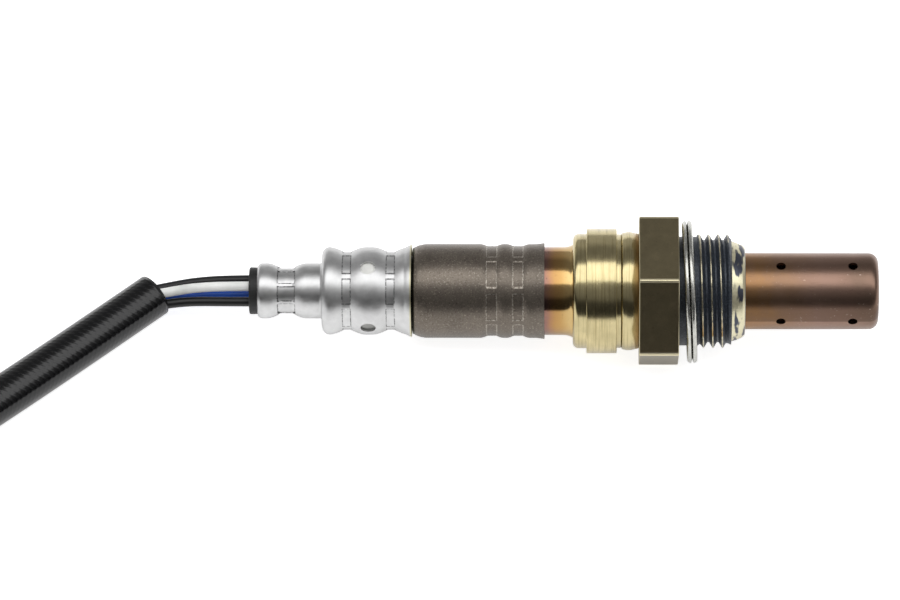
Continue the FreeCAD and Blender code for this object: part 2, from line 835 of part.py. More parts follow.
# Harness: the sleeve runs along the ground to the coil, and the tail runs from the coil to the plug
heading = level_heading(sleeve_heading_deg)
to_the_right = vector(heading.y, -heading.x, 0)
half_section = sleeve_diameter / 2 + coil_clearance
coil_corner_cut = 2 * half_section / (2 + math.sqrt(2))
low_layer = ground + tie_thickness + coil_clearance + half_section
high_layer = low_layer + 2 * half_section


def behind_grommet(distance, y, height):
    """Point behind the grommet's face, at a height over the middle of the sleeve where it lies."""
    return vector(laid_point(grommet_rear, 0, 0).x - distance, y, ground + half_section + height)


mouth = behind_grommet(*mouth_place)


def on_sleeve(distance, height, sideways=0):
    """Point over the sleeve's line on the ground, at a height over the middle of the sleeve."""
    flat = mouth + heading * distance + to_the_right * sideways
    return vector(flat.x, flat.y, ground + half_section + height)


coil_rise = low_layer - ground - half_section
lying_place, rising_place, coil_place = sleeve_places
coil_start = on_sleeve(coil_place, coil_rise)
sleeve_route = [mouth, on_sleeve(lying_place, 0), on_sleeve(rising_place, coil_rise), coil_start]
coil_centre = coil_start + to_the_right * coil_radius
coil_first_deg = math.degrees(math.atan2(-to_the_right.y, -to_the_right.x))
double_layer_deg = sleeve_heading_deg - exit_heading_deg
tail_heading = level_heading(exit_heading_deg)


def on_coil(turned_deg, height, reach=coil_radius):
    """Point of the coil after turning clockwise by an angle from where the sleeve comes in."""
    angle = math.radians(coil_first_deg - turned_deg)
    return vector(coil_centre.x + reach * math.cos(angle), coil_centre.y + reach * math.sin(angle), height)


tail_start = on_coil(double_layer_deg, high_layer)


def on_tail(distance, height):
    """Point over the line on which the harness leaves the coil."""
    flat = tail_start + tail_heading * distance
    return vector(flat.x, flat.y, height)


plug_centre = ground + plug_height / 2
tail_route = [tail_start] + [on_tail(place, high_layer - drop) for place, drop in tail_places]

# Middle line of the four leads: point, radius of their circle, turn of their circle
bundle_route = [
    (laid_point(barrel_front - barrel_bottom, 0, 0), contact_circle_radius, 0),
    (laid_point(insulator_rear - seat_gap, 0, 0), contact_circle_radius, 0),
    (laid_point(shell_rear + cap_shoulder_rounding, 0, 0), lead_circle_radius, 0),
    (laid_point(grommet_rear - 2 * lead_diameter, 0, 0), lead_circle_radius, 0),
    (behind_grommet(*bundle_approach[0]), (lead_circle_radius + bundle_radius) / 2, 0),
]
bundle_route += [(behind_grommet(*place), bundle_radius, 0) for place in bundle_approach[1:]]
bundle_route += [(on_sleeve(*place), bundle_radius, 0) for place in bundle_in_sleeve]
bundle_route += [(on_sleeve(rising_place, coil_rise), bundle_radius, 0), (coil_start, bundle_radius, 0)]
plug_circle_radius = terminal_pitch / math.sqrt(2)
plug_turn_deg = 45 - lead_angle_deg
wire_end = plug_distance + wire_seal_inset + wire_seal_length + terminal_barrel_length
tail_bundle_route = [
    (tail_start, bundle_radius, 0),
    (tail_route[1], bundle_radius, 0),
    (on_tail(fan_places[0][0], plug_centre + fan_places[0][1]), bundle_radius, 0),
    (on_tail(fan_places[1][0], plug_centre + fan_places[1][1]), fan_radius, fan_turn_deg),
    (on_tail(fan_end, plug_centre), plug_circle_radius, plug_turn_deg),
    (on_tail(wire_end, plug_centre), plug_circle_radius, plug_turn_deg),
]


def lead_points(route, index):
    """One lead's points: off the middle line by the circle's radius, at the lead's angle."""
    centres = [centre for centre, radius, turn_deg in route]
    first_run = centres[1] - centres[0]
    last_run = centres[-1] - centres[-2]
    runs = [centres[place + 1] - centres[place - 1] for place in range(2, len(route) - 2)]
    runs = [first_run, first_run] + runs + [last_run, last_run]
    points = []
    for run, (centre, radius, turn_deg) in zip(runs, route):
        level = run.cross(Z_AXIS).normalize()
        upright = level.cross(run).normalize()
        angle = math.radians(lead_angle(index) + turn_deg)
        points.append(centre + level * (radius * math.cos(angle)) + upright * (radius * math.sin(angle)))
    return points


def cord_wire(points, run=None):
    """Straight runs joined by arcs as large as the shorter of each two runs, or run, allows."""
    radii = [0] * len(points)
    for index in range(1, len(points) - 1):
        before = points[index] - points[index - 1]
        after = points[index + 1] - points[index]
        half_turn = before.getAngle(after) / 2
        radii[index] = 0.45 * (run or min(before.Length, after.Length)) / math.tan(half_turn)
    return Part.Wire(rounded_edges(points, radii, False)), radii[1:-1]


def cord_tube(name, points, diameter, run=None, section=None):
    """Cord along a path, round unless a section is given; prints its radii and volume for checking."""
    wire, radii = cord_wire(points, run)
    section = section or Part.Wire(Part.makeCircle(diameter / 2, points[0], points[1] - points[0]))
    tube = wire.makePipeShell([section], True, False)
    expected = Part.Face(section).Area * wire.Length
    print(f"{name}: length {wire.Length:.1f}, radii {[round(radius, 1) for radius in radii]}, "
          f"volume over section times length {tube.Volume / expected:.4f}")
    return tube


def sleeve_piece(name, points):
    """Braided sleeve as a plain hollow tube."""
    outside = cord_tube(name, points, sleeve_diameter)
    inside = cord_tube(name + " bore", points, sleeve_diameter - 2 * sleeve_wall)
    return outside.cut(inside)


def coil_height(turned_deg):
    """Height of the single layer between leaving the lower layer and reaching the upper."""
    lying = ground + half_section
    if turned_deg <= double_layer_deg:
        return low_layer
    if turned_deg < coil_rise_from_deg:
        return lying
    share = min((turned_deg - coil_rise_from_deg) / (coil_rise_to_deg - coil_rise_from_deg), 1.0)
    eased = share * share * (3 - 2 * share)
    return lying + (high_layer - lying) * eased


def two_layers(half_width, bottom, top, cut):
    """Upright section round both layers of the coil, its corners cut off at half a right angle."""
    corners = [
        vector(coil_radius - half_width, 0, bottom),
        vector(coil_radius + half_width, 0, bottom),
        vector(coil_radius + half_width, 0, top),
        vector(coil_radius - half_width, 0, top),
    ]
    return Part.Face(Part.Wire(rounded_edges(corners, [cut] * 4, True, 2 * cut)))


def harness_coil():
    """Turn and a third of sleeve with eight flats: two layers where the tie holds it, else one."""
    section = two_layers(half_section, low_layer - half_section, high_layer + half_section, coil_corner_cut)
    section.rotate(ORIGIN, Z_AXIS, coil_first_deg)
    section.translate(vector(coil_centre.x, coil_centre.y, 0))
    double = section.revolve(vector(coil_centre.x, coil_centre.y, 0), vector(0, 0, -1), double_layer_deg)
    sweep = 360.0 - double_layer_deg
    count = round(coil_points_per_turn * sweep / 360.0)
    step = sweep / count
    points = [on_coil(double_layer_deg, low_layer)]
    for index in range(count):
        turned_deg = double_layer_deg + (index + 0.5) * step
        reach = coil_radius / math.cos(math.radians(step / 2))
        points.append(on_coil(turned_deg, coil_height(turned_deg), reach))
    points[1].z = low_layer
    points[-1].z = high_layer
    points.append(on_coil(360.0, high_layer))
    run = 2 * coil_radius * math.tan(math.radians(step / 2))
    upright = polygon_section(0, sleeve_diameter / 2 * math.cos(math.pi / 8), 8, 0)
    turn = FreeCAD.Rotation(points[1] - points[0], Z_AXIS, Z_AXIS, "XZY")
    upright.Placement = FreeCAD.Placement(points[0], turn)
    single = cord_tube("harness_coil", points, sleeve_diameter, run, upright)
    return double.fuse(single)


def coil_tie():
    """Strap round both layers, with its lock block on the coil's inside."""
    half_width = half_section + tie_clearance
    bottom = ground + tie_thickness
    top = high_layer + half_width
    inside = two_layers(half_width, bottom, top, coil_corner_cut)
    cut = coil_corner_cut + (2 - math.sqrt(2)) * tie_thickness
    outside = two_layers(half_width + tie_thickness, bottom - tie_thickness, top + tie_thickness, cut)
    strap = outside.cut(inside).extrude(vector(0, tie_width, 0))
    length, width, depth = tie_head
    middle = (bottom + top) / 2
    inner_side = coil_radius - half_width - tie_thickness / 2
    head = Part.makeBox(depth, length, width)
    head.translate(vector(inner_side - depth, (tie_width - length) / 2, middle - width / 2))
    tie = strap.fuse(head)
    tie.translate(vector(0, -tie_width / 2, 0))
    tie.rotate(ORIGIN, Z_AXIS, coil_first_deg - double_layer_deg / 2)
    tie.translate(vector(coil_centre.x, coil_centre.y, 0))
    return tie


# Plug, drawn with x = 0 on its rear face and +x towards the mating face

def place_plug(shape):
    placed = shape.copy()
    placed.rotate(ORIGIN, Z_AXIS, exit_heading_deg)
    placed.translate(on_tail(plug_distance, plug_centre))
    return placed


def rounded_block(x_from, x_to, width, height, rounding):
    half_width = width / 2
    half_height = height / 2
    corners = [
        vector(x_from, -half_width, -half_height),
        vector(x_from, half_width, -half_height),
        vector(x_from, half_width, half_height),
        vector(x_from, -half_width, half_height),
    ]
    face = Part.Face(Part.Wire(rounded_edges(corners, [rounding] * 4, True)))
    return face.extrude(vector(x_to - x_from, 0, 0))


def terminal_places():
    half = terminal_pitch / 2
    return [(y * half, z * half) for y in (-1, 1) for z in (-1, 1)]


def square_bar(x_from, x_to, side, y, z):
    return Part.makeBox(x_to - x_from, side, side, vector(x_from, y - side / 2, z - side / 2))


plug_nose_end = plug_block_length + plug_nose_length
wire_seal_front = wire_seal_inset + wire_seal_length


def plug_body():
    """Moulded body: block with a seal pocket and a lock nib, and a narrower nose."""
    block = rounded_block(0, plug_block_length, plug_width, plug_height, plug_corner_rounding)
    nose = rounded_block(plug_block_length, plug_nose_end, plug_nose_width, plug_nose_height,
                         plug_nose_rounding)
    length, width, height = plug_nib
    top = plug_height / 2
    side = [
        vector(plug_nib_place, -width / 2, top - plug_nib_root),
        vector(plug_nib_place, -width / 2, top + height),
        vector(plug_nib_place + length / 3, -width / 2, top + height),
        vector(plug_nib_place + length, -width / 2, top),
        vector(plug_nib_place + length, -width / 2, top - plug_nib_root),
    ]
    nib = Part.Face(Part.makePolygon(side + side[:1])).extrude(vector(0, width, 0))
    body = block.fuse([nose, nib])
    pocket = rounded_block(-1, wire_seal_front, wire_seal_width, wire_seal_height, wire_seal_rounding)
    cavities = [square_bar(wire_seal_front - 1, plug_nose_end + 1, terminal_cavity, y, z)
                for y, z in terminal_places()]
    return cut_all(body, [pocket] + cavities).removeSplitter()


def wire_seal():
    """Rubber mat with three ribs round it and a hole for each wire."""
    rib = wire_seal_rib
    third = wire_seal_length / 3
    core = rounded_block(wire_seal_inset, wire_seal_front, wire_seal_width - 4 * rib,
                         wire_seal_height - 4 * rib, wire_seal_rounding - 2 * rib)
    for index in range(3):
        start = wire_seal_inset + index * third + third / 3
        core = core.fuse(rounded_block(start, start + third / 3, wire_seal_width - 2 * close_fit,
                                       wire_seal_height - 2 * close_fit, wire_seal_rounding - close_fit))
    hole = lead_diameter / 2 + sliding_gap
    holes = [Part.makeCylinder(hole, wire_seal_length + 2, vector(wire_seal_inset - 1, y, z), X_AXIS)
             for y, z in terminal_places()]
    return cut_all(core, holes)


def edge_seal():
    """Rubber ring round the root of the nose."""
    start = plug_block_length
    end = start + edge_seal_width
    gap = 2 * close_fit
    inner = rounded_block(start - 1, end + 1, plug_nose_width + gap, plug_nose_height + gap,
                          plug_nose_rounding + close_fit)
    outer = rounded_block(start, end, plug_nose_width + 2 * edge_seal_thickness,
                          plug_nose_height + 2 * edge_seal_thickness,
                          plug_nose_rounding + edge_seal_thickness)
    return outer.cut(inner)


def terminal_lock():
    """Front plate that keeps the terminals in, with a hole for each mating pin."""
    plate = rounded_block(plug_nose_end, plug_nose_end + lock_thickness, plug_nose_width,
                          plug_nose_height, plug_nose_rounding)
    holes = [square_bar(plug_nose_end - 1, plug_nose_end + lock_thickness + 1, lock_hole, y, z)
             for y, z in terminal_places()]
    return cut_all(plate, holes)


def socket_terminal(y, z):
    """Crimp barrel on the wire's end and a box that takes the mating pin."""
    start = wire_seal_front + seat_gap
    bottom = start + terminal_barrel_length - seat_gap
    inner = lead_diameter / 2 + sliding_gap
    outer = inner + barrel_wall
    barrel = Part.makeCylinder(outer, bottom - start + terminal_wall, vector(start, y, z), X_AXIS)
    barrel = barrel.cut(Part.makeCylinder(inner, bottom - start, vector(start, y, z), X_AXIS))
    box = square_bar(bottom + terminal_wall / 2, plug_nose_end, terminal_box, y, z)
    hollow = square_bar(bottom + terminal_wall, plug_nose_end + 1, terminal_box - 2 * terminal_wall, y, z)
    return barrel.fuse(box.cut(hollow))


def save(name, shape):
    shape.exportStep(f"parts/{name}.step")


def main():
    os.makedirs("parts", exist_ok=True)
    clip_white = 1
    clip_blue = 3
    shank_hole = element_shank_diameter + 2 * packing_side_gap
    sensor = {
        "housing": housing(),
        "gasket_ring": gasket_ring(),
        "outer_protection_cover": outer_protection_cover(),
        "inner_protection_cover": inner_protection_cover(),
        "sensing_element": sensing_element(),
        "heater_rod": heater_rod(),
        "element_washer": packing(collar_seat, ledge_depth, washer_hole_diameter),
        "talc_packing": packing(bush_front, element_collar_rear, shank_hole),
        "ceramic_bush": packing(backing_ring_front, bush_front, shank_hole),
        "backing_ring": packing(tube_flange_front, backing_ring_front, backing_ring_hole_diameter),
        "inner_tube": inner_tube(),
        "outer_cover": outer_cover(),
        "vent_filter": vent_filter(),
        "rear_cap": rear_cap(),
        "terminal_insulator": terminal_insulator(),
        "heater_contact_rear": heater_contact(0),
        "ground_contact": ground_contact(clip_white),
        "heater_contact_front": heater_contact(2),
        "signal_contact": signal_contact(clip_blue),
        "grommet": grommet(),
    }
    for name, shape in sensor.items():
        save(name, lay_down(shape))
    for index, name in enumerate(lead_names):
        save(name, cord_tube(name, lead_points(bundle_route, index), lead_diameter))
        tail = name + "_tail"
        save(tail, cord_tube(tail, lead_points(tail_bundle_route, index), lead_diameter))
    save("braided_sleeve", sleeve_piece("braided_sleeve", sleeve_route))
    save("braided_sleeve_tail", sleeve_piece("braided_sleeve_tail", tail_route))
    save("harness_coil", harness_coil())
    save("coil_tie", coil_tie())
    save("plug_body", place_plug(plug_body()))
    save("wire_seal", place_plug(wire_seal()))
    save("edge_seal", place_plug(edge_seal()))
    save("terminal_lock", place_plug(terminal_lock()))
    for number, (y, z) in enumerate(terminal_places(), 1):
        save(f"socket_terminal_{number}", place_plug(socket_terminal(y, z)))


main()
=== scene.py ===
"""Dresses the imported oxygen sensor: finishes, thread ridges, crimped covers, leads and braided sleeve."""
import json
import math

import bmesh
import bpy
from mathutils import Matrix, Vector, noise


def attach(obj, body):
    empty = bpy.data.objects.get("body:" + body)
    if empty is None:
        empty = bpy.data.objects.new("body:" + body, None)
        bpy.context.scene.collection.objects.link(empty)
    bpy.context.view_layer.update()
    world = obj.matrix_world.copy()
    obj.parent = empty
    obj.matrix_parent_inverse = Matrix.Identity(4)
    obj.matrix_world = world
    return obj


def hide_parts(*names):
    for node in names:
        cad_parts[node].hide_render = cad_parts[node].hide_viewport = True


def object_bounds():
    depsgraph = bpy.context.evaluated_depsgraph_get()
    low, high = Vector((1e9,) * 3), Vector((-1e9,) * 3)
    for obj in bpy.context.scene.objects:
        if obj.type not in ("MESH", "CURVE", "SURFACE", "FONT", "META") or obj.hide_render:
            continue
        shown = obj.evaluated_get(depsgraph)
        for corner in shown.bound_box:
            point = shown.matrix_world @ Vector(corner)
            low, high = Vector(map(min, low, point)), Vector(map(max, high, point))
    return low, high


bl_info = {
    "name": "Oxygen Sensor Dresser",
    "version": (1, 0, 0),
    "blender": (4, 5, 0),
    "location": "3D View > Sidebar > Sensor",
    "description": "Builds the finishes and fine shapes of a heated exhaust oxygen sensor",
    "category": "Object",
}

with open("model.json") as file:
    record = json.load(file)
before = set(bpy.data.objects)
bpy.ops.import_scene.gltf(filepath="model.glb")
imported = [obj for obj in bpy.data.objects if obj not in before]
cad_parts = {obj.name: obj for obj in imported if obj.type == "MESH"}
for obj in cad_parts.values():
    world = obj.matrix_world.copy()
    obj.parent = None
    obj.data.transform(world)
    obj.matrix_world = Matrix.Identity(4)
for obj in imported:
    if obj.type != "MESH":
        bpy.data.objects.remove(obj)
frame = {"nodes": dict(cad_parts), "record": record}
cad_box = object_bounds()


# Sizes and colours that a user would change

def linear(text):
    """Linear colour from an sRGB hex value."""
    channels = [int(text[index:index + 2], 16) / 255 for index in (1, 3, 5)]
    return [c / 12.92 if c <= 0.04045 else ((c + 0.055) / 1.055) ** 2.4 for c in channels]


def millimetres(name, description, value):
    return bpy.props.FloatProperty(name=name, description=description, default=value / 1000,
                                   min=0.0, unit="LENGTH", precision=5)


def colour(name, description, text):
    return bpy.props.FloatVectorProperty(name=name, description=description, subtype="COLOR",
                                         size=3, min=0.0, max=1.0, default=linear(text))


class SensorSizes(bpy.types.PropertyGroup):
    """Sizes of the sensor's metal pieces."""
    across_flats: millimetres("Across flats", "Hexagon from flat to flat", 22.0)
    hexagon_rounding: millimetres("Hexagon rounding", "Radius of the hexagon's corners", 0.3)
    thread_diameter: millimetres("Thread diameter", "Outer diameter of the thread", 18.0)
    thread_pitch: millimetres("Thread pitch", "Distance between two crests", 1.5)
    thread_depth: millimetres("Thread depth", "Crest to root", 0.92)
    thread_length: millimetres("Thread length", "Threaded stretch", 5.4)
    neck_diameter: millimetres("Neck diameter", "Plain neck under the gasket", 17.2)
    gasket_diameter: millimetres("Gasket diameter", "Outer diameter of the folded gasket", 22.5)
    gasket_hole: millimetres("Gasket hole", "Inner diameter of the folded gasket", 17.7)
    gasket_thickness: millimetres("Gasket thickness", "Folded thickness of the gasket", 1.6)
    cover_diameter: millimetres("Probe diameter", "Outer diameter of the probe cover", 12.06)
    cover_length: millimetres("Probe length", "Probe cover beyond the nose", 21.2)
    gas_hole: millimetres("Gas hole", "Diameter of the probe's gas holes", 1.5)
    collar_diameter: millimetres("Collar diameter", "Rolled collar behind the hexagon", 19.7)
    bulge_diameter: millimetres("Bulge diameter", "Hot-crimped bulge behind the hexagon", 18.6)
    tube_diameter: millimetres("Tube diameter", "Heat-tinted inner tube", 13.94)
    shell_diameter: millimetres("Outer cover diameter", "Dark outer cover", 14.86)
    cap_diameter: millimetres("Cap diameter", "Bright cap", 13.9)
    cap_tail_diameter: millimetres("Cap tail diameter", "Small end of the cap", 8.76)
    vent: millimetres("Vent", "Diameter of the cap's vents", 2.4)


class HarnessSizes(bpy.types.PropertyGroup):
    """Sizes of the leads, sleeve and plug."""
    lead_diameter: millimetres("Lead diameter", "Each insulated lead", 1.52)
    sleeve_diameter: millimetres("Sleeve diameter", "Outside of the braided sleeve", 7.0)
    sleeve_wall: millimetres("Sleeve wall", "Thickness of the braided sleeve", 0.6)
    strand_pitch: millimetres("Strand pitch", "Distance between the sleeve's ribs", 0.96)
    coil_radius: millimetres("Coil radius", "Middle line of the harness coil", 38.0)


class SensorColours(bpy.types.PropertyGroup):
    """Main colours of the finishes."""
    zinc: colour("Zinc", "Yellow-passivated zinc on the collar", "#C3B68C")
    hexagon: colour("Hexagon", "Dull zinc on the hexagon's flats", "#7B7158")
    compound: colour("Compound", "Anti-seize paste in the thread", "#2B3038")
    gasket: colour("Gasket", "Stainless sheet of the gasket", "#C6C6C0")
    probe: colour("Probe", "Heat-tinted probe cover", "#8A7063")
    tube: colour("Tube", "Heat tint on the inner tube", "#B18D58")
    shell: colour("Outer cover", "Browned outer cover", "#6E665D")
    cap: colour("Cap", "Satin stainless cap", "#CECECE")
    rubber: colour("Rubber", "Grommet rubber", "#151515")
    lead_black: colour("Black lead", "Black insulation", "#0B0B0C")
    lead_white: colour("White lead", "White insulation", "#F0F2EE")
    lead_blue: colour("Blue lead", "Blue insulation", "#0F52BC")
    braid: colour("Braid", "Varnished braid", "#08080A")
    plug: colour("Plug", "Glass-filled nylon", "#1B1B1D")
    seal: colour("Seal", "Silicone seals of the plug", "#9A3B26")


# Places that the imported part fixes

mounts = {mount["name"]: mount for mount in frame["record"]["mounts"]}
thread_axis = Vector(mounts["thread"]["axis"])
rest_tilt = math.atan2(thread_axis.z, thread_axis.x)
ground = cad_box[0][2] * 1000
to_world = Matrix.Rotation(-rest_tilt, 4, "Y") @ Matrix.Diagonal((0.001, 0.001, 0.001, 1))

# Stations along the sensor's axis in millimetres, zero on the hexagon's front face
nose_end = 10.45
thread_end = 8.3
cover_flange_front = 9.9
hexagon_rear = -6.25
bulge_rear = -9.1
groove_rear = -9.74
collar_rear = -14.54
lip_rear = -16.69
shell_front = -21.14
shell_shoulder = -41.95
cap_front = -42.12
cap_shoulder = -56.29
cap_rear = -66.5
grommet_rear = -67.79
tube_stop = -40.7
shell_stop = -54.54
vents = -48.92

# Rings that crimping jaws leave: stations, waist radius, its length, flank, print's length and first angle
shell_rings = ((-29.45, -25.3), 7.09, 1.4, 1.15, 1.6, 14.9)
cap_rings = ((-52.3, -45.4), 6.23, 1.2, 2.4, 1.3, 38.4)
tail_ring = ((-61.9,), 3.64, 1.9, 2.2, 2.7, 45.7)
jaw_width_deg = 37.0


def laid_point(x, y, z):
    """World point in millimetres of a point on the sensor's own axes."""
    cosine = math.cos(rest_tilt)
    sine = math.sin(rest_tilt)
    return Vector((x * cosine - z * sine, y, x * sine + z * cosine))


# Mesh helpers

def link(mesh, name):
    piece = bpy.data.objects.new(name, mesh)
    bpy.context.scene.collection.objects.link(piece)
    return piece


def mesh_from(build, name):
    mesh = bpy.data.meshes.new(name)
    build.to_mesh(mesh)
    build.free()
    return mesh


def rounded(corners, steps=6):
    """Profile points of x and radius, with an arc where a corner gives a rounding."""
    points = []
    for index, corner in enumerate(corners):
        here = Vector(corner[:2])
        size = corner[2] if len(corner) > 2 else 0
        if size <= 0 or index in (0, len(corners) - 1):
            points.append(here)
            continue
        before = (Vector(corners[index - 1][:2]) - here).normalized()
        after = (Vector(corners[index + 1][:2]) - here).normalized()
        half = before.angle(after) / 2
        centre = here + (before + after).normalized() * (size / math.sin(half))
        start = here + before * (size / math.tan(half)) - centre
        end = here + after * (size / math.tan(half)) - centre
        sweep = start.angle_signed(end)
        for step in range(steps + 1):
            turn = -sweep * step / steps
            cosine = math.cos(turn)
            sine = math.sin(turn)
            points.append(centre + Vector((start.x * cosine - start.y * sine,
                                           start.x * sine + start.y * cosine)))
    return [(point.x, point.y) for point in points]


def divided(points, longest):
    """The same profile with no run longer than longest."""
    result = [points[0]]
    for (x0, r0), (x1, r1) in zip(points, points[1:]):
        count = max(1, math.ceil(math.hypot(x1 - x0, r1 - r0) / longest))
        result += [(x0 + (x1 - x0) * k / count, r0 + (r1 - r0) * k / count) for k in range(1, count + 1)]
    return result


def turned_piece(name, profile, segments=192, shape=None, first_deg=0.0, sharp_deg=32.0, looped=False):
    """Mesh turned about the sensor's axis; shape(x, radius, angle) may move a point in or out."""
    build = bmesh.new()
    rings = []
    for x, radius in profile:
        if radius < 1e-6:
            rings.append([build.verts.new(to_world @ Vector((x, 0, 0)))])
            continue
        ring = []
        for index in range(segments):
            angle = math.radians(first_deg) + 2 * math.pi * index / segments
            reach = shape(x, radius, angle) if shape else radius
            place = Vector((x, reach * math.cos(angle), reach * math.sin(angle)))
            ring.append(build.verts.new(to_world @ place))
        rings.append(ring)
    pairs = list(zip(rings, rings[1:]))
    if looped:
        pairs.append((rings[-1], rings[0]))
    for one, other in pairs:
        for index in range(segments):
            following = (index + 1) % segments
            if len(one) == 1 and len(other) == 1:
                continue
            if len(one) == 1:
                build.faces.new((one[0], other[following], other[index]))
            elif len(other) == 1:
                build.faces.new((one[index], one[following], other[0]))
            else:
                build.faces.new((one[index], one[following], other[following], other[index]))
    bmesh.ops.recalc_face_normals(build, faces=build.faces)
    mesh = mesh_from(build, name)
    soften(mesh, sharp_deg)
    return link(mesh, name)


def soften(mesh, sharp_deg):
    """Smooth shading that keeps edges sharper than an angle."""
    mesh.polygons.foreach_set("use_smooth", [True] * len(mesh.polygons))
    mesh.set_sharp_from_angle(angle=math.radians(sharp_deg))


def drill(station, diameter, angle_deg, reach):
    """Cylinder that starts 1 mm off the axis and goes outwards."""
    build = bmesh.new()
    bmesh.ops.create_cone(build, cap_ends=True, segments=40, radius1=diameter / 2,
                          radius2=diameter / 2, depth=reach)
    build.transform(Matrix.Translation((0, 0, reach / 2 + 1.0)))
    build.transform(Matrix.Rotation(math.radians(angle_deg) - math.pi / 2, 4, "X"))
    build.transform(Matrix.Translation((station, 0, 0)))
    build.transform(to_world)
    return link(mesh_from(build, "drill"), "drill")


def drilled(piece, drills, sharp_deg=32.0):
    """Cuts the drills out of a piece and throws them away."""
    for tool in drills:
        cut = piece.modifiers.new("cut", "BOOLEAN")
        cut.object = tool
        cut.solver = "EXACT"
    bpy.context.view_layer.update()
    graph = bpy.context.evaluated_depsgraph_get()
    mesh = bpy.data.meshes.new_from_object(piece.evaluated_get(graph))
    piece.modifiers.clear()
    piece.data = mesh
    for tool in drills:
        bpy.data.objects.remove(tool)
    soften(mesh, sharp_deg)


def pressed_by_jaws(rings, inset=0.0, print_depth=0.06):
    """Shape of a tube that jaws press into smooth waists, each with eight shallow sharp-edged prints."""
    stations, waist, waist_length, flank, print_length, first_deg = rings
    waist = waist - inset

    def shape(x, radius, angle):
        reach = radius
        turn = (math.degrees(angle) - first_deg + 22.5) % 45 - 22.5
        for station in stations:
            away = abs(x - station)
            share = min(max((away - waist_length / 2) / flank, 0.0), 1.0)
            if radius > waist:
                reach = min(reach, waist + (radius - waist) * math.sin(share * math.pi / 2))
            if away < print_length / 2 and abs(turn) < jaw_width_deg / 2:
                reach = min(reach, waist - print_depth)
        return reach
    return shape


def with_ring_edges(profile, rings):
    """Adds points at both ends of each jaw's print, so that its edge stays sharp."""
    stations, print_length = rings[0], rings[4]
    wanted = [station + side * (print_length / 2) + step for station in stations for side in (-1, 1)
              for step in (-0.015, 0.015)]
    result = [profile[0]]
    for (x0, r0), (x1, r1) in zip(profile, profile[1:]):
        within = [x for x in wanted if min(x0, x1) < x < max(x0, x1)]
        for x in sorted(within, reverse=x1 < x0):
            result.append((x, r0 + (r1 - r0) * (x - x0) / (x1 - x0)))
        result.append((x1, r1))
    return result


# Material helpers

soft = {"interpolation_type": "SMOOTHSTEP"}
metres_to_mm = (1000, 1000, 1000)


def as_rgb(tone):
    """Linear channels of a hex value, a colour or a grey level."""
    if isinstance(tone, str):
        return linear(tone)
    return list(tone) if hasattr(tone, "__len__") else [tone] * 3


def scaled(tone, factor):
    return [min(1.0, channel * factor) for channel in as_rgb(tone)]


def put(tree, node, inputs):
    """Sets a node's inputs by name or number, each from a value or by a link."""
    for key, value in inputs.items():
        socket = node.inputs[key]
        if isinstance(value, bpy.types.NodeSocket):
            tree.links.new(value, socket)
        elif socket.type == "RGBA":
            socket.default_value = as_rgb(value) + [1]
        else:
            socket.default_value = value


def add(tree, kind, inputs=None, output=0, stops=(), **settings):
    """Adds a shader node with its settings and links, and gives one of its outputs."""
    node = tree.nodes.new("ShaderNode" + kind)
    for name, value in settings.items():
        setattr(node, name, value)
    put(tree, node, inputs or {})
    for place, tone in stops[2:]:
        node.color_ramp.elements.new(0.5)
    for element, (place, tone) in zip(node.color_ramp.elements if stops else (), stops):
        element.position = place
        element.color = as_rgb(tone) + [1]
    return node.outputs[output]


def new_material(name):
    material = bpy.data.materials.new(name)
    material.use_nodes = True
    return material, material.node_tree, material.node_tree.nodes["Principled BSDF"]


def give(piece, material):
    piece.data.materials.clear()
    piece.data.materials.append(material)


def dressed(piece, material, slot, *nodes):
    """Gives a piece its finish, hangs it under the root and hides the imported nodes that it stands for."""
    give(piece, material)
    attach(piece, "root")
    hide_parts(*nodes)


def on_sensor(tree):
    """A point on the sensor's own axes, in millimetres and degrees: place, station, radius and turn."""
    world = add(tree, "TexCoord", output="Object")
    place = add(tree, "Mapping", {"Vector": world, "Rotation": (0, rest_tilt, 0), "Scale": metres_to_mm})
    split = add(tree, "SeparateXYZ", {"Vector": place}).node
    flat = add(tree, "CombineXYZ", {"Y": split.outputs["Y"], "Z": split.outputs["Z"]})
    radius = add(tree, "VectorMath", {0: flat}, "Value", operation="LENGTH")
    turn = add(tree, "Math", {0: split.outputs["Z"], 1: split.outputs["Y"]}, operation="ARCTAN2")
    return place, split.outputs["X"], radius, add(tree, "Math", {0: turn}, operation="DEGREES")


def grain(tree, place, per_mm, detail=3.0, stretch=(1, 1, 1), roughness=0.55):
    """Cloudy pattern with so many features per millimetre, stretched along the axes."""
    place = add(tree, "Mapping", {"Vector": place, "Scale": stretch})
    return add(tree, "TexNoise", {"Vector": place, "Scale": per_mm, "Detail": detail, "Roughness": roughness})


def laid_over(tree, tone, top, value, low, high, amount=1.0):
    """Lays a colour over a tone as a value goes from low to high, up to an amount."""
    limits = {"From Min": low, "From Max": high, "To Max": amount}
    share = add(tree, "MapRange", {"Value": value, **limits}, **soft)
    return add(tree, "Mix", {0: share, 6: tone, 7: top}, 2, data_type="RGBA")


def masked(tree, tone, top, value, low, high, mask, amount=1.0):
    """Lays a colour over a tone as a value goes from low to high, but only where a mask is."""
    limits = {"From Min": low, "From Max": high, "To Max": amount}
    share = add(tree, "MapRange", {"Value": value, **limits}, **soft)
    share = add(tree, "Math", {0: share, 1: mask}, operation="MULTIPLY")
    return add(tree, "Mix", {0: share, 6: tone, 7: top}, 2, data_type="RGBA")


def wandering(tree, station, start, end, clouds, reach):
    """0 to 1 along the axis from start to end, pushed to and fro by clouds."""
    along = add(tree, "MapRange", {"Value": station, "From Min": start, "From Max": end}, **soft)
    push = add(tree, "Math", {0: clouds, 1: reach, 2: -reach / 2}, operation="MULTIPLY_ADD")
    return add(tree, "Math", {0: along, 1: push}, operation="ADD")


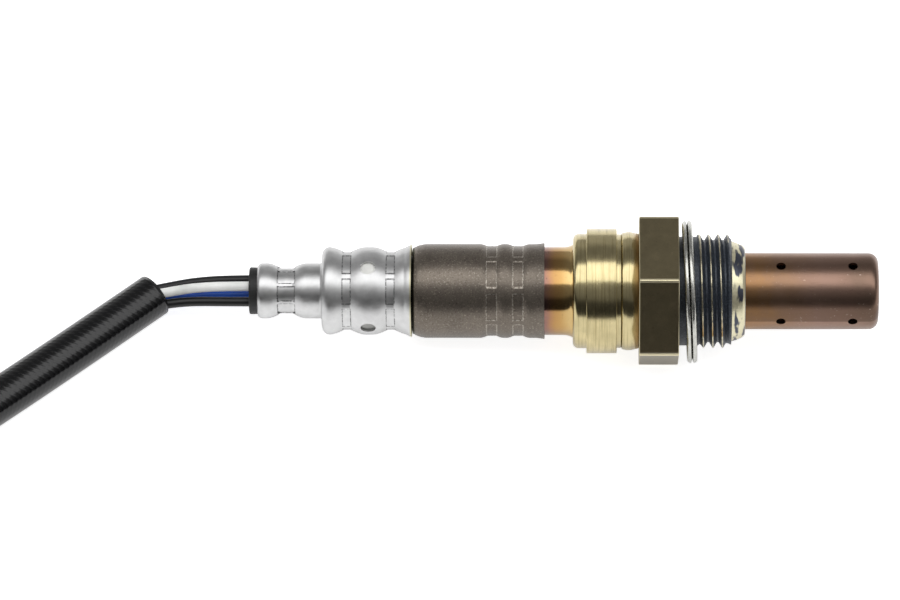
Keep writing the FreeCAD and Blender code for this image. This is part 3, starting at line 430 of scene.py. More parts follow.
def jaw_outline(tree, station, turn, rings, line):
    """1 along the edge of each print that the jaws leave, 0 elsewhere; line is its width in millimetres."""
    stations, waist, waist_length, flank, print_length, first_deg = rings
    middle = sum(stations) / len(stations)
    away = add(tree, "Math", {0: station, 1: middle}, operation="SUBTRACT")
    for inward in (abs(stations[0] - middle), print_length / 2):
        away = add(tree, "Math", {0: away}, operation="ABSOLUTE")
        away = add(tree, "Math", {0: away, 1: inward}, operation="SUBTRACT")
    turn = add(tree, "Math", {0: turn, 1: first_deg}, operation="SUBTRACT")
    turn = add(tree, "Math", {0: turn, 1: 22.5}, operation="PINGPONG")
    turn = add(tree, "Math", {0: turn, 1: jaw_width_deg / 2}, operation="SUBTRACT")
    aside = add(tree, "Math", {0: turn, 1: math.radians(waist)}, operation="MULTIPLY")
    edge = add(tree, "Math", {0: away, 1: aside}, operation="MAXIMUM")
    edge = add(tree, "Math", {0: edge}, operation="ABSOLUTE")
    return add(tree, "MapRange", {"Value": edge, "From Min": line, "From Max": line * 0.3}, **soft)


def surfaced(tree, shader, tone, metallic, rough, height, depth_mm):
    """Joins a finish to its shader; rough is one value, or two and what varies between them."""
    if isinstance(rough, tuple):
        low, high, share = rough
        rough = add(tree, "MapRange", {"Value": share, "To Min": low, "To Max": high})
    relief = add(tree, "Bump", {"Height": height, "Distance": depth_mm / 1000, "Strength": 1.0})
    put(tree, shader, {"Base Color": tone, "Metallic": metallic, "Roughness": rough, "Normal": relief})


# Finishes

def passivated_zinc(colours):
    """Yellow-passivated zinc on turned steel: pale gold, mirror-like, with fine turning lines."""
    material, tree, shader = new_material("zinc_plated_steel")
    place, station, _, _ = on_sensor(tree)
    clouds = grain(tree, place, 0.35)
    lines = grain(tree, place, 3.4, 2.0, (1, 0.03, 0.03))
    stops = [(0.3, scaled(colours.zinc, 0.85)), (0.55, colours.zinc), (0.75, scaled(colours.zinc, 1.12))]
    tone = add(tree, "ValToRGB", {"Fac": clouds}, stops=stops)
    tone = laid_over(tree, tone, "#8C7C50", lines, 0.45, 0.7, 0.45)
    tone = laid_over(tree, tone, "#A58055", station, -7.5, -6.4, 0.7)
    surfaced(tree, shader, tone, 1.0, (0.12, 0.24, clouds), lines, 0.012)
    return material


def dull_zinc(colours):
    """Aged zinc on a hexagon cut from bar: dark olive-bronze, with painted shade on its near flat, a painted
    reflection of the floor beside that flat's lower corner and a painted highlight in a thin line along its
    edges.
    """
    material, tree, shader = new_material("hexagon_zinc")
    place, station, radius, turn = on_sensor(tree)
    clouds = grain(tree, place, 0.5, 5.0)
    specks = grain(tree, place, 4.0, 3.0, roughness=0.7)
    flat_tone = colours.hexagon
    stops = [(0.3, scaled(flat_tone, 0.85)), (0.6, flat_tone), (0.8, scaled(flat_tone, 1.15))]
    tone = add(tree, "ValToRGB", {"Fac": clouds}, stops=stops)
    tone = laid_over(tree, tone, "#A79C80", specks, 0.62, 0.75, 0.5)
    tone = laid_over(tree, tone, "#3B3527", specks, 0.4, 0.28, 0.5)
    # Painted shade darkens the flat on the near side, and a painted reflection of the floor makes a lighter
    # strip beside its lower corner
    flat = add(tree, "MapRange", {"Value": turn, "From Min": 180.0, "From Max": 177.12}, **soft)
    tone = masked(tree, tone, "#2C2619", turn, 117.36, 120.24, flat, 0.55)
    tone = laid_over(tree, tone, "#D2C8B2", turn, 177.12, 180.0, 0.6)
    # Painted highlight: a thin pale line along the rounded corners and along the front and rear edges
    edge = add(tree, "MapRange", {"Value": radius, "From Min": 12.5, "From Max": 12.54}, **soft)
    for low, high in ((-0.13, -0.06), (-6.12, -6.19)):
        limits = {"From Min": low, "From Max": high, "To Max": 0.6}
        end = add(tree, "MapRange", {"Value": station, **limits}, **soft)
        edge = add(tree, "Math", {0: edge, 1: end}, operation="MAXIMUM")
    tone = add(tree, "Mix", {0: edge, 6: tone, 7: "#D9CFAE"}, 2, data_type="RGBA")
    surfaced(tree, shader, tone, 0.9, (0.28, 0.4, specks), specks, 0.012)
    return material


def pasted_thread(colours):
    """Anti-seize paste in the thread: blue-black in the roots, with thin bare zinc crests, browner below."""
    material, tree, shader = new_material("thread_paste_on_zinc")
    place, _, radius, turn = on_sensor(tree)
    smears = grain(tree, place, 0.9, 4.0)
    fine = grain(tree, place, 4.0)
    wander = add(tree, "Math", {0: smears, 1: 0.35, 2: -0.175}, operation="MULTIPLY_ADD")
    reach = add(tree, "Math", {0: radius, 1: wander}, operation="ADD")
    bare = add(tree, "MapRange", {"Value": reach, "From Min": 8.88, "From Max": 8.98}, **soft)
    metal = add(tree, "Mix", {0: smears, 6: "#A39A80", 7: "#DAD3BA"}, 2, data_type="RGBA")
    metal = laid_over(tree, metal, "#9C7F4F", turn, 150.0, 178.0)
    paste = laid_over(tree, colours.compound, "#4A525C", fine, 0.4, 0.75)
    tone = add(tree, "Mix", {0: bare, 6: paste, 7: metal}, 2, data_type="RGBA")
    metallic = add(tree, "MapRange", {"Value": bare, "To Min": 0.3})
    surfaced(tree, shader, tone, metallic, (0.42, 0.25, bare), fine, 0.03)
    return material


def smeared_nose(colours):
    """Staked zinc nose: pale cream-gold, with patches of the blue-grey paste wiped over from the thread."""
    material, tree, shader = new_material("smeared_zinc_nose")
    place, station, _, turn = on_sensor(tree)
    smears = grain(tree, place, 0.7, 2.0, (1.5, 0.5, 0.5), 0.35)
    fine = grain(tree, place, 5.0, 2.0)
    share = add(tree, "Math", {0: turn, 1: 360.0}, operation="DIVIDE")
    wiped = [(0.08, 0), (0.12, 1), (0.28, 1), (0.31, 0), (0.33, 0), (0.36, 1), (0.455, 1), (0.48, 0)]
    patches = add(tree, "ValToRGB", {"Fac": share}, stops=wiped)
    for low, high in ((8.6, 9.0), (10.2, 9.9)):
        belt = add(tree, "MapRange", {"Value": station, "From Min": low, "From Max": high}, **soft)
        patches = add(tree, "Math", {0: patches, 1: belt}, operation="MULTIPLY")
    amount = add(tree, "Math", {0: patches, 1: 0.16, 2: smears}, operation="MULTIPLY_ADD")
    tone = add(tree, "Mix", {0: fine, 6: "#CFC7A4", 7: "#E9E3C6"}, 2, data_type="RGBA")
    tone = laid_over(tree, tone, "#4B4E59", amount, 0.56, 0.66)
    tone = laid_over(tree, tone, "#B5B2A6", station, 10.28, 10.4)
    surfaced(tree, shader, tone, 0.85, 0.33, fine, 0.03)
    return material


def folded_stainless(colours):
    """Folded stainless sheet: pale, rolled smooth, with faint rub marks."""
    material, tree, shader = new_material("gasket_stainless")
    rubs = grain(tree, on_sensor(tree)[0], 1.2, 4.0, (2.5, 1, 1))
    stops = [(0.3, scaled(colours.gasket, 0.75)), (0.6, colours.gasket), (0.8, "#E4E4DE")]
    tone = add(tree, "ValToRGB", {"Fac": rubs}, stops=stops)
    surfaced(tree, shader, tone, 1.0, (0.18, 0.34, rubs), rubs, 0.02)
    return material


def tinted_probe(colours):
    """Drawn stainless tinted by heat: bronze-brown, with painted shade low on the near side, scratched and
    pitted.
    """
    material, tree, shader = new_material("probe_tinted_stainless")
    place, station, _, turn = on_sensor(tree)
    clouds = grain(tree, place, 0.3, 4.0)
    along = wandering(tree, station, 10.0, 32.0, clouds, 0.5)
    tint = [(0.0, "#93704F"), (0.16, "#8B6E58"), (0.55, colours.probe), (0.85, "#846B5E"), (1.0, "#7C6659")]
    tone = add(tree, "ValToRGB", {"Fac": along}, stops=tint)
    # Painted shade low on the near side, dimming the floor's reflection there
    tone = laid_over(tree, tone, "#2A1E14", turn, 140.4, 165.6, 0.48)
    scratches = grain(tree, place, 2.2, 2.0, (0.25, 3, 3))
    flecks = grain(tree, place, 2.6, 4.0, (1, 0.8, 0.8), 0.75)
    specks = grain(tree, place, 6.0, 1.0)
    tone = laid_over(tree, tone, "#5A463B", scratches, 0.6, 0.75, 0.3)
    tone = laid_over(tree, tone, "#3A302A", specks, 0.72, 0.78, 0.6)
    worn = add(tree, "MapRange", {"Value": clouds, "From Min": 0.4, "From Max": 0.6}, **soft)
    tone = masked(tree, tone, "#DCC8B8", flecks, 0.64, 0.7, worn, 0.7)
    surfaced(tree, shader, tone, 1.0, (0.26, 0.38, clouds), flecks, 0.008)
    return material


def tinted_tube(colours):
    """Stainless beside a weld: straw and gold, browner towards the cover, with a trace of purple there."""
    material, tree, shader = new_material("tube_heat_tint")
    place, station, _, _ = on_sensor(tree)
    clouds = grain(tree, place, 0.4, 4.0)
    specks = grain(tree, place, 5.0, 1.0)
    along = wandering(tree, station, -16.6, -21.4, clouds, 0.3)
    tint = [(0.0, "#C0A470"), (0.35, colours.tube), (0.65, "#A88253"), (0.85, "#9C7558"), (1.0, "#87665F")]
    tone = add(tree, "ValToRGB", {"Fac": along}, stops=tint)
    tone = laid_over(tree, tone, "#4A3A22", specks, 0.7, 0.76, 0.7)
    surfaced(tree, shader, tone, 1.0, 0.14, grain(tree, place, 4.0, 2.0, (1, 0.05, 0.05)), 0.004)
    return material


def browned_cover(colours):
    """Blasted stainless browned by heat: warm dark grey, satin, with pale specks and rubbed jaw edges."""
    material, tree, shader = new_material("cover_browned_stainless")
    place, station, _, turn = on_sensor(tree)
    grit = grain(tree, place, 4.0, 3.0, roughness=0.7)
    stops = [(0.3, scaled(colours.shell, 0.9)), (0.7, scaled(colours.shell, 1.1))]
    tone = add(tree, "ValToRGB", {"Fac": grain(tree, place, 0.3)}, stops=stops)
    tone = laid_over(tree, tone, "#B3A99B", grit, 0.55, 0.8)
    tone = laid_over(tree, tone, "#463F37", grit, 0.45, 0.25)
    # Painted shade: a near-black band on the shoulder, in the shadowed gap beside the cap's lip
    tone = laid_over(tree, tone, "#0E0C0A", station, shell_shoulder + 0.42, shell_shoulder + 0.22)
    edges = jaw_outline(tree, station, turn, shell_rings, 0.14)
    tone = masked(tree, tone, "#C9C2B6", grit, 0.4, 0.62, edges, 0.8)
    surfaced(tree, shader, tone, 0.8, 0.34, grit, 0.025)
    return material


def satin_stainless(colours):
    """Drawn and tumbled stainless: bright and satin, darker along the sharp edges of the jaw prints."""
    material, tree, shader = new_material("cap_satin_stainless")
    place, station, _, turn = on_sensor(tree)
    clouds = grain(tree, place, 0.7, 4.0)
    fine = grain(tree, place, 3.5)
    lines = grain(tree, place, 3.5, 2.0, (1, 0.12, 0.12))
    stops = [(0.3, scaled(colours.cap, 0.88)), (0.6, colours.cap), (0.8, "#D8D8D7")]
    tone = add(tree, "ValToRGB", {"Fac": clouds}, stops=stops)
    tone = laid_over(tree, tone, "#C9C29A", station, cap_front - 0.35, cap_front - 0.1, 0.8)
    body_edges = jaw_outline(tree, station, turn, cap_rings, 0.11)
    tail_edges = jaw_outline(tree, station, turn, tail_ring, 0.11)
    edges = add(tree, "Math", {0: body_edges, 1: tail_edges}, operation="MAXIMUM")
    tone = masked(tree, tone, "#3A3A3B", fine, 0.35, 0.55, edges, 0.85)
    surfaced(tree, shader, tone, 1.0, (0.32, 0.42, clouds), lines, 0.012)
    return material


def moulded(name, tint, rough, grit_per_mm=3.0, depth_mm=0.02, clear=0.0, metallic=0.0, ior=1.5):
    """Moulded, pressed or rolled stuff with its fine surface grain."""
    material, tree, shader = new_material(name)
    world = add(tree, "TexCoord", output="Object")
    place = add(tree, "Mapping", {"Vector": world, "Scale": metres_to_mm})
    fine = grain(tree, place, grit_per_mm)
    stops = [(0.3, scaled(tint, 0.85)), (0.7, scaled(tint, 1.15))]
    tone = add(tree, "ValToRGB", {"Fac": grain(tree, place, 0.25, 2.0)}, stops=stops)
    share = add(tree, "Math", {0: fine, 1: 0.25}, operation="MULTIPLY")
    tone = add(tree, "Mix", {0: share, 6: tone, 7: scaled(tint, 0.6)}, 2, data_type="RGBA")
    surfaced(tree, shader, tone, metallic, (max(0.05, rough - 0.08), rough + 0.08, fine), fine, depth_mm)
    put(tree, shader, {"Coat Weight": clear, "Coat Roughness": 0.15})
    if metallic < 0.5:
        put(tree, shader, {"IOR": ior})
    return material


def varnished_braid(colours, pitch):
    """Glass-fibre braid under glossy black varnish: low leaning ribs that break its long highlight."""
    material, tree, shader = new_material("varnished_braid")
    split = add(tree, "SeparateXYZ", {"Vector": add(tree, "UVMap", uv_map="along_and_round")}).node
    along = add(tree, "Math", {0: split.outputs["X"], 1: 1000 / pitch}, operation="MULTIPLY")
    lean = add(tree, "Math", {0: split.outputs["Y"], 1: 600 / pitch}, operation="MULTIPLY")
    ribs = []
    for way in ("ADD", "SUBTRACT"):
        turns = add(tree, "Math", {0: along, 1: lean}, operation=way)
        angle = add(tree, "Math", {0: turns, 1: 2 * math.pi}, operation="MULTIPLY")
        ribs.append(add(tree, "Math", {0: angle}, operation="SINE"))
    crossing = add(tree, "Math", {0: ribs[1], 1: 0.5}, operation="MULTIPLY")
    height = add(tree, "Math", {0: ribs[0], 1: crossing}, operation="MAXIMUM")
    world = add(tree, "TexCoord", output="Object")
    place = add(tree, "Mapping", {"Vector": world, "Scale": metres_to_mm})
    tone = laid_over(tree, scaled(colours.braid, 0.6), scaled(colours.braid, 1.3), height, 0.2, 1.0)
    tone = laid_over(tree, tone, "#8A8A86", grain(tree, place, 1.4), 0.74, 0.78, 0.3)
    surfaced(tree, shader, tone, 0.0, 0.22, height, 0.02)
    put(tree, shader, {"Specular IOR Level": 0.3, "Coat Weight": 0.35, "Coat Roughness": 0.12})
    return material


# Harness route in millimetres, as in the part's source, with a slight droop up to the coil

sleeve_heading = Vector((math.cos(math.radians(223.3)), math.sin(math.radians(223.3)), 0))
to_the_right = Vector((sleeve_heading.y, -sleeve_heading.x, 0))
exit_heading = Vector((0, 1, 0))
sleeve_mouth = Vector((-82.31, -0.06, 0))
lying_place = 26.0
rising_place = 47.0
coil_place = 60.7
tail_place = 8.0
half_section = 3.55
low_layer = 0.85 + half_section
high_layer = low_layer + 2 * half_section
sleeve_droop = Vector((-0.32, -0.4, 0))
double_layer_deg = 133.3
coil_turned_deg = 360 + double_layer_deg
coil_steps = 20
coil_rise_from_deg = 245
coil_rise_deg = 80

# Leads: stations of the contacts and of the bends inside the cap, and radii of the leads' circle
contact_station = -43.34
insulator_rear = -48.89
cap_bend = -53.24
grommet_bend = grommet_rear - 3.04
contact_circle = 2.9
grommet_circle = 1.9
sleeve_circle = 1.11
fan_circle = 1.9
plug_circle = 2.97
fan_turn_deg = 15
plug_turn_deg = 30.2
plug_height = 7.75


def on_sleeve(distance, height, sideways=0.0):
    flat = sleeve_mouth + sleeve_heading * distance + to_the_right * sideways
    return Vector((flat.x, flat.y, ground + height))


def coil_centre(radius):
    return on_sleeve(coil_place, 0) + to_the_right * radius


def on_coil(radius, turned_deg, height, reach=None):
    first = math.atan2(-to_the_right.y, -to_the_right.x)
    angle = first - math.radians(turned_deg)
    centre = coil_centre(radius)
    reach = radius if reach is None else reach
    return Vector((centre.x + reach * math.cos(angle), centre.y + reach * math.sin(angle), ground + height))


def on_tail(radius, distance, height):
    flat = on_coil(radius, double_layer_deg, 0) + exit_heading * distance
    return Vector((flat.x, flat.y, ground + height))


def coil_height(turned_deg):
    """Height over the ground after turning by an angle: low layer, single layer, rise, high layer."""
    if turned_deg <= double_layer_deg:
        return low_layer
    if turned_deg >= 360:
        return high_layer
    share = min(max((turned_deg - coil_rise_from_deg) / coil_rise_deg, 0.0), 1.0)
    return half_section + (high_layer - half_section) * share * share * (3 - 2 * share)


def coil_points(radius):
    step = coil_turned_deg / coil_steps
    reach = radius / math.cos(math.radians(step / 2))
    places = [(index + 0.5) * step for index in range(coil_steps)]
    return [on_coil(radius, place, coil_height(place), reach) for place in places]


def sleeve_route(radius):
    start = [on_sleeve(0, 4.0), on_sleeve(lying_place, half_section), on_sleeve(rising_place, low_layer)]
    start = [place + sleeve_droop for place in start]
    tail = [on_tail(radius, tail_place, high_layer), on_tail(radius, 16.0, 10.9)]
    return start + coil_points(radius) + tail


def bundle_route(radius):
    """Middle line of the four leads from the sensor's contacts to the plug: point, circle, turn."""
    inside = [
        (laid_point(contact_station, 0, 0), contact_circle, 0),
        (laid_point(insulator_rear, 0, 0), contact_circle, 0),
        (laid_point(cap_bend, 0, 0), grommet_circle, 0),
        (laid_point(grommet_bend, 0, 0), grommet_circle, 0),
        (Vector((-76.0, 0.0, ground + 4.9)), 1.66, 0),
        (Vector((-79.2, -0.25, ground + 4.3)), 1.45, 0),
        (Vector((-82.7, -0.6, ground + 3.85)) + sleeve_droop, 1.35, 0),
        (on_sleeve(3.6, 3.8, 0.6) + sleeve_droop, 1.3, 0),
        (on_sleeve(9.0, 3.7, 0.4) + sleeve_droop, 1.2, 0),
        (on_sleeve(lying_place, 3.4) + sleeve_droop, sleeve_circle, 0),
        (on_sleeve(rising_place, low_layer) + sleeve_droop, sleeve_circle, 0),
    ]
    coil = [(point, sleeve_circle, 0) for point in coil_points(radius)]
    tail = [
        (on_tail(radius, tail_place, high_layer), sleeve_circle, 0),
        (on_tail(radius, 17.5, plug_height + 3.0), sleeve_circle, 0),
        (on_tail(radius, 23.0, plug_height + 1.4), fan_circle, fan_turn_deg),
        (on_tail(radius, 28.0, plug_height), plug_circle, plug_turn_deg),
        (on_tail(radius, 44.0, plug_height), plug_circle, plug_turn_deg),
    ]
    return inside + coil + tail


def lead_points(route, lead_deg):
    """One lead's points: off the middle line by the circle's radius, at the lead's angle."""
    points = []
    for index, (centre, radius, turn_deg) in enumerate(route):
        first = max(min(index - 1, len(route) - 3), 0)
        last = min(max(index + 1, 2), len(route) - 1)
        if index < 2:
            first, last = 0, 1
        if index > len(route) - 3:
            first, last = len(route) - 2, len(route) - 1
        run = (route[last][0] - route[first][0]).normalized()
        level = run.cross(Vector((0, 0, 1))).normalized()
        upright = level.cross(run)
        angle = math.radians(lead_deg + turn_deg)
        points.append(centre + level * (radius * math.cos(angle)) + upright * (radius * math.sin(angle)))
    return points


def cord_line(name, points, bevel_mm=0.0):
    """Smooth cord through control points in millimetres."""
    curve = bpy.data.curves.new(name, "CURVE")
    curve.dimensions = "3D"
    curve.resolution_u = 16
    curve.bevel_depth = bevel_mm / 1000
    curve.bevel_resolution = 6
    curve.use_fill_caps = bevel_mm > 0
    spline = curve.splines.new("NURBS")
    spline.points.add(len(points) - 1)
    for slot, point in zip(spline.points, points):
        slot.co = (*(point * 0.001), 1)
    spline.order_u = 3
    spline.use_endpoint_u = True
    piece = bpy.data.objects.new(name, curve)
    bpy.context.scene.collection.objects.link(piece)
    return piece


def line_points(points):
    """Points of the smooth line itself, in metres, read from its spline."""
    line = cord_line("line", points)
    bpy.context.view_layer.update()
    graph = bpy.context.evaluated_depsgraph_get()
    mesh = bpy.data.meshes.new_from_object(line.evaluated_get(graph))
    places = [vertex.co.copy() for vertex in mesh.vertices]
    bpy.data.meshes.remove(mesh)
    bpy.data.objects.remove(line)
    return places


def line_length(places):
    return sum((other - one).length for one, other in zip(places, places[1:]))


def resampled(places, spacing):
    """Even steps along a line; spacing(distance) gives the step at each place, in metres."""
    reached = [0.0]
    for one, other in zip(places, places[1:]):
        reached.append(reached[-1] + (other - one).length)
    total = reached[-1]
    wanted = [0.0]
    while wanted[-1] < total:
        wanted.append(wanted[-1] + spacing(wanted[-1]))
    wanted[-1] = total
    result = []
    index = 0
    for distance in wanted:
        while index < len(reached) - 2 and reached[index + 1] < distance:
            index += 1
        run = reached[index + 1] - reached[index]
        share = (distance - reached[index]) / run if run > 0 else 0.0
        result.append((distance, places[index].lerp(places[index + 1], min(share, 1.0))))
    return result


def tube_mesh(name, stations, radius_at, segments):
    """Tube along a line: stations of distance and place, radius_at(distance, angle) in metres."""
    build = bmesh.new()
    layer = build.loops.layers.uv.new("along_and_round")
    count = len(stations)
    side = None
    rings = []
    for index, (distance, place) in enumerate(stations):
        ahead = stations[min(index + 1, count - 1)][1]
        behind = stations[max(index - 1, 0)][1]
        along = (ahead - behind).normalized()
        if side is None:
            side = along.cross(Vector((0, 0, 1))).normalized()
        side = (side - along * side.dot(along)).normalized()
        up = side.cross(along)
        ring = []
        for step in range(segments):
            angle = 2 * math.pi * step / segments
            reach = radius_at(distance, angle)
            spot = place + side * (reach * math.cos(angle))
            ring.append(build.verts.new(spot + up * (reach * math.sin(angle))))
        rings.append(ring)
    width = 2 * math.pi * 0.0035
    for index in range(count - 1):
        for step in range(segments):
            following = (step + 1) % segments
            face = build.faces.new((rings[index][step], rings[index][following],
                                    rings[index + 1][following], rings[index + 1][step]))
            turns = (step / segments, (step + 1) / segments, (step + 1) / segments, step / segments)
            lengths = (stations[index][0], stations[index][0], stations[index + 1][0], stations[index + 1][0])
            for loop, turn, distance in zip(face.loops, turns, lengths):
                loop[layer].uv = (distance, turn * width)
    bmesh.ops.recalc_face_normals(build, faces=build.faces)
    mesh = mesh_from(build, name)
    soften(mesh, 50)
    return mesh


# Pieces

class SENSOR_OT_stage(bpy.types.Operator):
    """Camera at the photograph's angle, white floor and soft studio light"""
    bl_idname = "sensor.stage"
    bl_label = "Stage"

    def execute(self, context):
        scene = context.scene
        # The photograph's angle, its focal length and width in pixels, and the point it is centred on
        azimuth = math.radians(-4.155)
        elevation = math.radians(52.685)
        roll = math.radians(6.227)
        focal_px = 6113
        width_px = 900
        aim = Vector((-0.03581, 0, -0.00537))
        distance = 0.9684
        back = Vector((math.sin(azimuth) * math.cos(elevation), -math.cos(azimuth) * math.cos(elevation),
                       math.sin(elevation)))
        side = Vector((0, 0, 1)).cross(back).normalized()
        top = back.cross(side)
        right = side * math.cos(roll) + top * math.sin(roll)
        up = top * math.cos(roll) - side * math.sin(roll)
        lens = bpy.data.cameras.new("photo_camera")
        lens.sensor_width = 36
        lens.lens = lens.sensor_width * focal_px / width_px
        lens.clip_start = 0.05
        camera = bpy.data.objects.new("photo_camera", lens)
        place = aim + back * distance
        turn = Matrix((right, up, back)).transposed()
        camera.matrix_world = Matrix.Translation(place) @ turn.to_4x4()
        scene.collection.objects.link(camera)
        scene.camera = camera
        scene.view_settings.view_transform = "Standard"
        self.build_floor()
        self.build_lights(scene)
        return {"FINISHED"}

    def build_floor(self):
        mesh = bpy.data.meshes.new("floor")
        half = 3.0
        level = ground / 1000 - 0.00002
        corners = [(-half, -half, level), (half, -half, level), (half, half, level), (-half, half, level)]
        mesh.from_pydata(corners, [], [(0, 1, 2, 3)])
        floor = link(mesh, "floor")
        material, tree, shader = new_material("white_table")
        shader.inputs["Base Color"].default_value = (0.8, 0.8, 0.8, 1)
        shader.inputs["Roughness"].default_value = 0.9
        rays = add(tree, "LightPath").node.outputs
        direct = {0: rays["Is Camera Ray"], 1: rays["Is Transmission Ray"]}
        seen = add(tree, "Math", direct, operation="MAXIMUM")
        mirrored = add(tree, "Math", {0: rays["Is Glossy Ray"], 1: 0.6}, operation="MULTIPLY")
        seen = add(tree, "Math", {0: seen, 1: mirrored}, operation="MAXIMUM")
        black = add(tree, "Emission", {"Strength": 0.0})
        glow = add(tree, "Emission", {"Color": 1.0, "Strength": 0.84})
        lit = add(tree, "MixShader", {0: seen, 1: black, 2: glow})
        total = add(tree, "AddShader", {0: shader.outputs[0], 1: lit})
        tree.links.new(total, tree.nodes["Material Output"].inputs["Surface"])
        give(floor, material)

    def build_lights(self, scene):
        world = bpy.data.worlds.new("studio")
        scene.world = world
        world.use_nodes = True
        tree = world.node_tree
        sky = tree.nodes["Background"]
        split = add(tree, "SeparateXYZ", {0: add(tree, "TexCoord", output="Generated")}).node
        angle = add(tree, "Math", {0: split.outputs["Z"], 1: split.outputs["Y"]}, operation="ARCTAN2")
        share = add(tree, "Math", {0: angle, 1: math.pi}, operation="DIVIDE")
        stops = [(0.0, 0.5), (0.13, 0.45), (0.22, 0.22), (0.35, 0.22), (0.4, 0.5), (0.6, 0.5), (0.66, 0.28),
                 (0.78, 0.2), (0.84, 0.05), (0.98, 0.03)]
        tone = add(tree, "ValToRGB", {"Fac": share}, stops=stops)
        seen = add(tree, "LightPath", output="Is Camera Ray")
        tone = add(tree, "Mix", {0: seen, 6: tone, 7: 1.0}, 2, data_type="RGBA")
        tree.links.new(tone, sky.inputs["Color"])
        sky.inputs["Strength"].default_value = 1.0
        for name, place, size, depth, power, mirrored in (
                ("overhead_softbox", (-0.03, -0.02, 0.75), 2.4, 0.5, 6.2, True),
                ("ceiling_fill", (-0.03, 0.0, 1.6), 2.5, 2.5, 7.5, False)):
            lamp = bpy.data.lights.new(name, "AREA")
            lamp.shape = "RECTANGLE"
            lamp.size = size
            lamp.size_y = depth
            lamp.energy = power
            softbox = bpy.data.objects.new(name, lamp)
            softbox.location = place
            softbox.visible_glossy = mirrored
            scene.collection.objects.link(softbox)


class SENSOR_OT_sleeve(bpy.types.Operator):
    """Braided sleeve from its open mouth through one and a third turns of coil to the plug"""
    bl_idname = "sensor.sleeve"
    bl_label = "Braided sleeve"

    def execute(self, context):
        sizes = context.scene.harness_sizes
        route = sleeve_route(sizes.coil_radius * 1000)
        places = line_points(route)
        radius = sizes.sleeve_diameter / 2
        stations = resampled(places, lambda distance: 0.0006 if distance < 0.062 else 0.0016)
        mesh = tube_mesh("sleeve", stations, lambda distance, angle: radius, 72)
        piece = link(mesh, "sleeve")
        thick = piece.modifiers.new("wall", "SOLIDIFY")
        thick.thickness = sizes.sleeve_wall
        thick.offset = -1
        material = varnished_braid(context.scene.sensor_colours, sizes.strand_pitch * 1000)
        dressed(piece, material, "braid", "braided_sleeve", "harness_coil", "braided_sleeve_tail")
        return {"FINISHED"}


class SENSOR_OT_leads(bpy.types.Operator):
    """Four insulated leads from the sensor's contacts through the sleeve to the plug's terminals"""
    bl_idname = "sensor.leads"
    bl_label = "Leads"

    def execute(self, context):
        sizes = context.scene.harness_sizes
        colours = context.scene.sensor_colours
        insulation = {
            "black": moulded("black_insulation", colours.lead_black, 0.42, 2.0, 0.006),
            "white": moulded("white_insulation", colours.lead_white, 0.4, 2.0, 0.004, 0.1),
            "blue": moulded("blue_insulation", colours.lead_blue, 0.45, 2.0, 0.004),
        }
        route = bundle_route(sizes.coil_radius * 1000)
        leads = (("lead_black_rear", "black", 14.8, 4), ("lead_white", "white", 104.8, 2),
                 ("lead_black_front", "black", 194.8, 1), ("lead_blue", "blue", 284.8, 3))
        for name, tint, angle, terminal in leads:
            points = lead_points(route, angle)
            piece = cord_line(name + "_cord", points, sizes.lead_diameter * 500)
            length = line_length(line_points(points))
            dressed(piece, insulation[tint], tint + "_insulation", name, name + "_tail")
        return {"FINISHED"}


class SENSOR_OT_plug(bpy.types.Operator):
    """Plug, its seals, lock and terminals, and the tie round the coil"""
    bl_idname = "sensor.plug"
    bl_label = "Plug and tie"

    def execute(self, context):
        colours = context.scene.sensor_colours
        # Nylon and polyester have a fine spark-eroded grain; silicone is satin; the stamped brass is tinned
        nylon = moulded("glass_filled_nylon", colours.plug, 0.5, 4.0, 0.03)
        silicone = moulded("silicone_seal", colours.seal, 0.42, 2.0, 0.01, ior=1.41)
        polyester = moulded("polyester_lock", "#6E7074", 0.42, 4.0, 0.02)
        tin = moulded("tin_plated_brass", "#C9C5B8", 0.32, 3.0, 0.01, metallic=1.0)
        tie = moulded("nylon_tie", "#141415", 0.4, 3.0, 0.01)
        for name, material in (("plug_body", nylon), ("wire_seal", silicone), ("edge_seal", silicone),
                               ("terminal_lock", polyester), ("coil_tie", tie)):
            give(frame["nodes"][name], material)
        for number in (1, 2, 3, 4):
            give(frame["nodes"][f"socket_terminal_{number}"], tin)
        for name in ("plug_body", "terminal_lock"):
            node = frame["nodes"][name]
            edge = node.modifiers.new("edges", "BEVEL")
            edge.width = 0.0002
            edge.segments = 2
            edge.limit_method = "ANGLE"
            edge.angle_limit = math.radians(40)
        return {"FINISHED"}


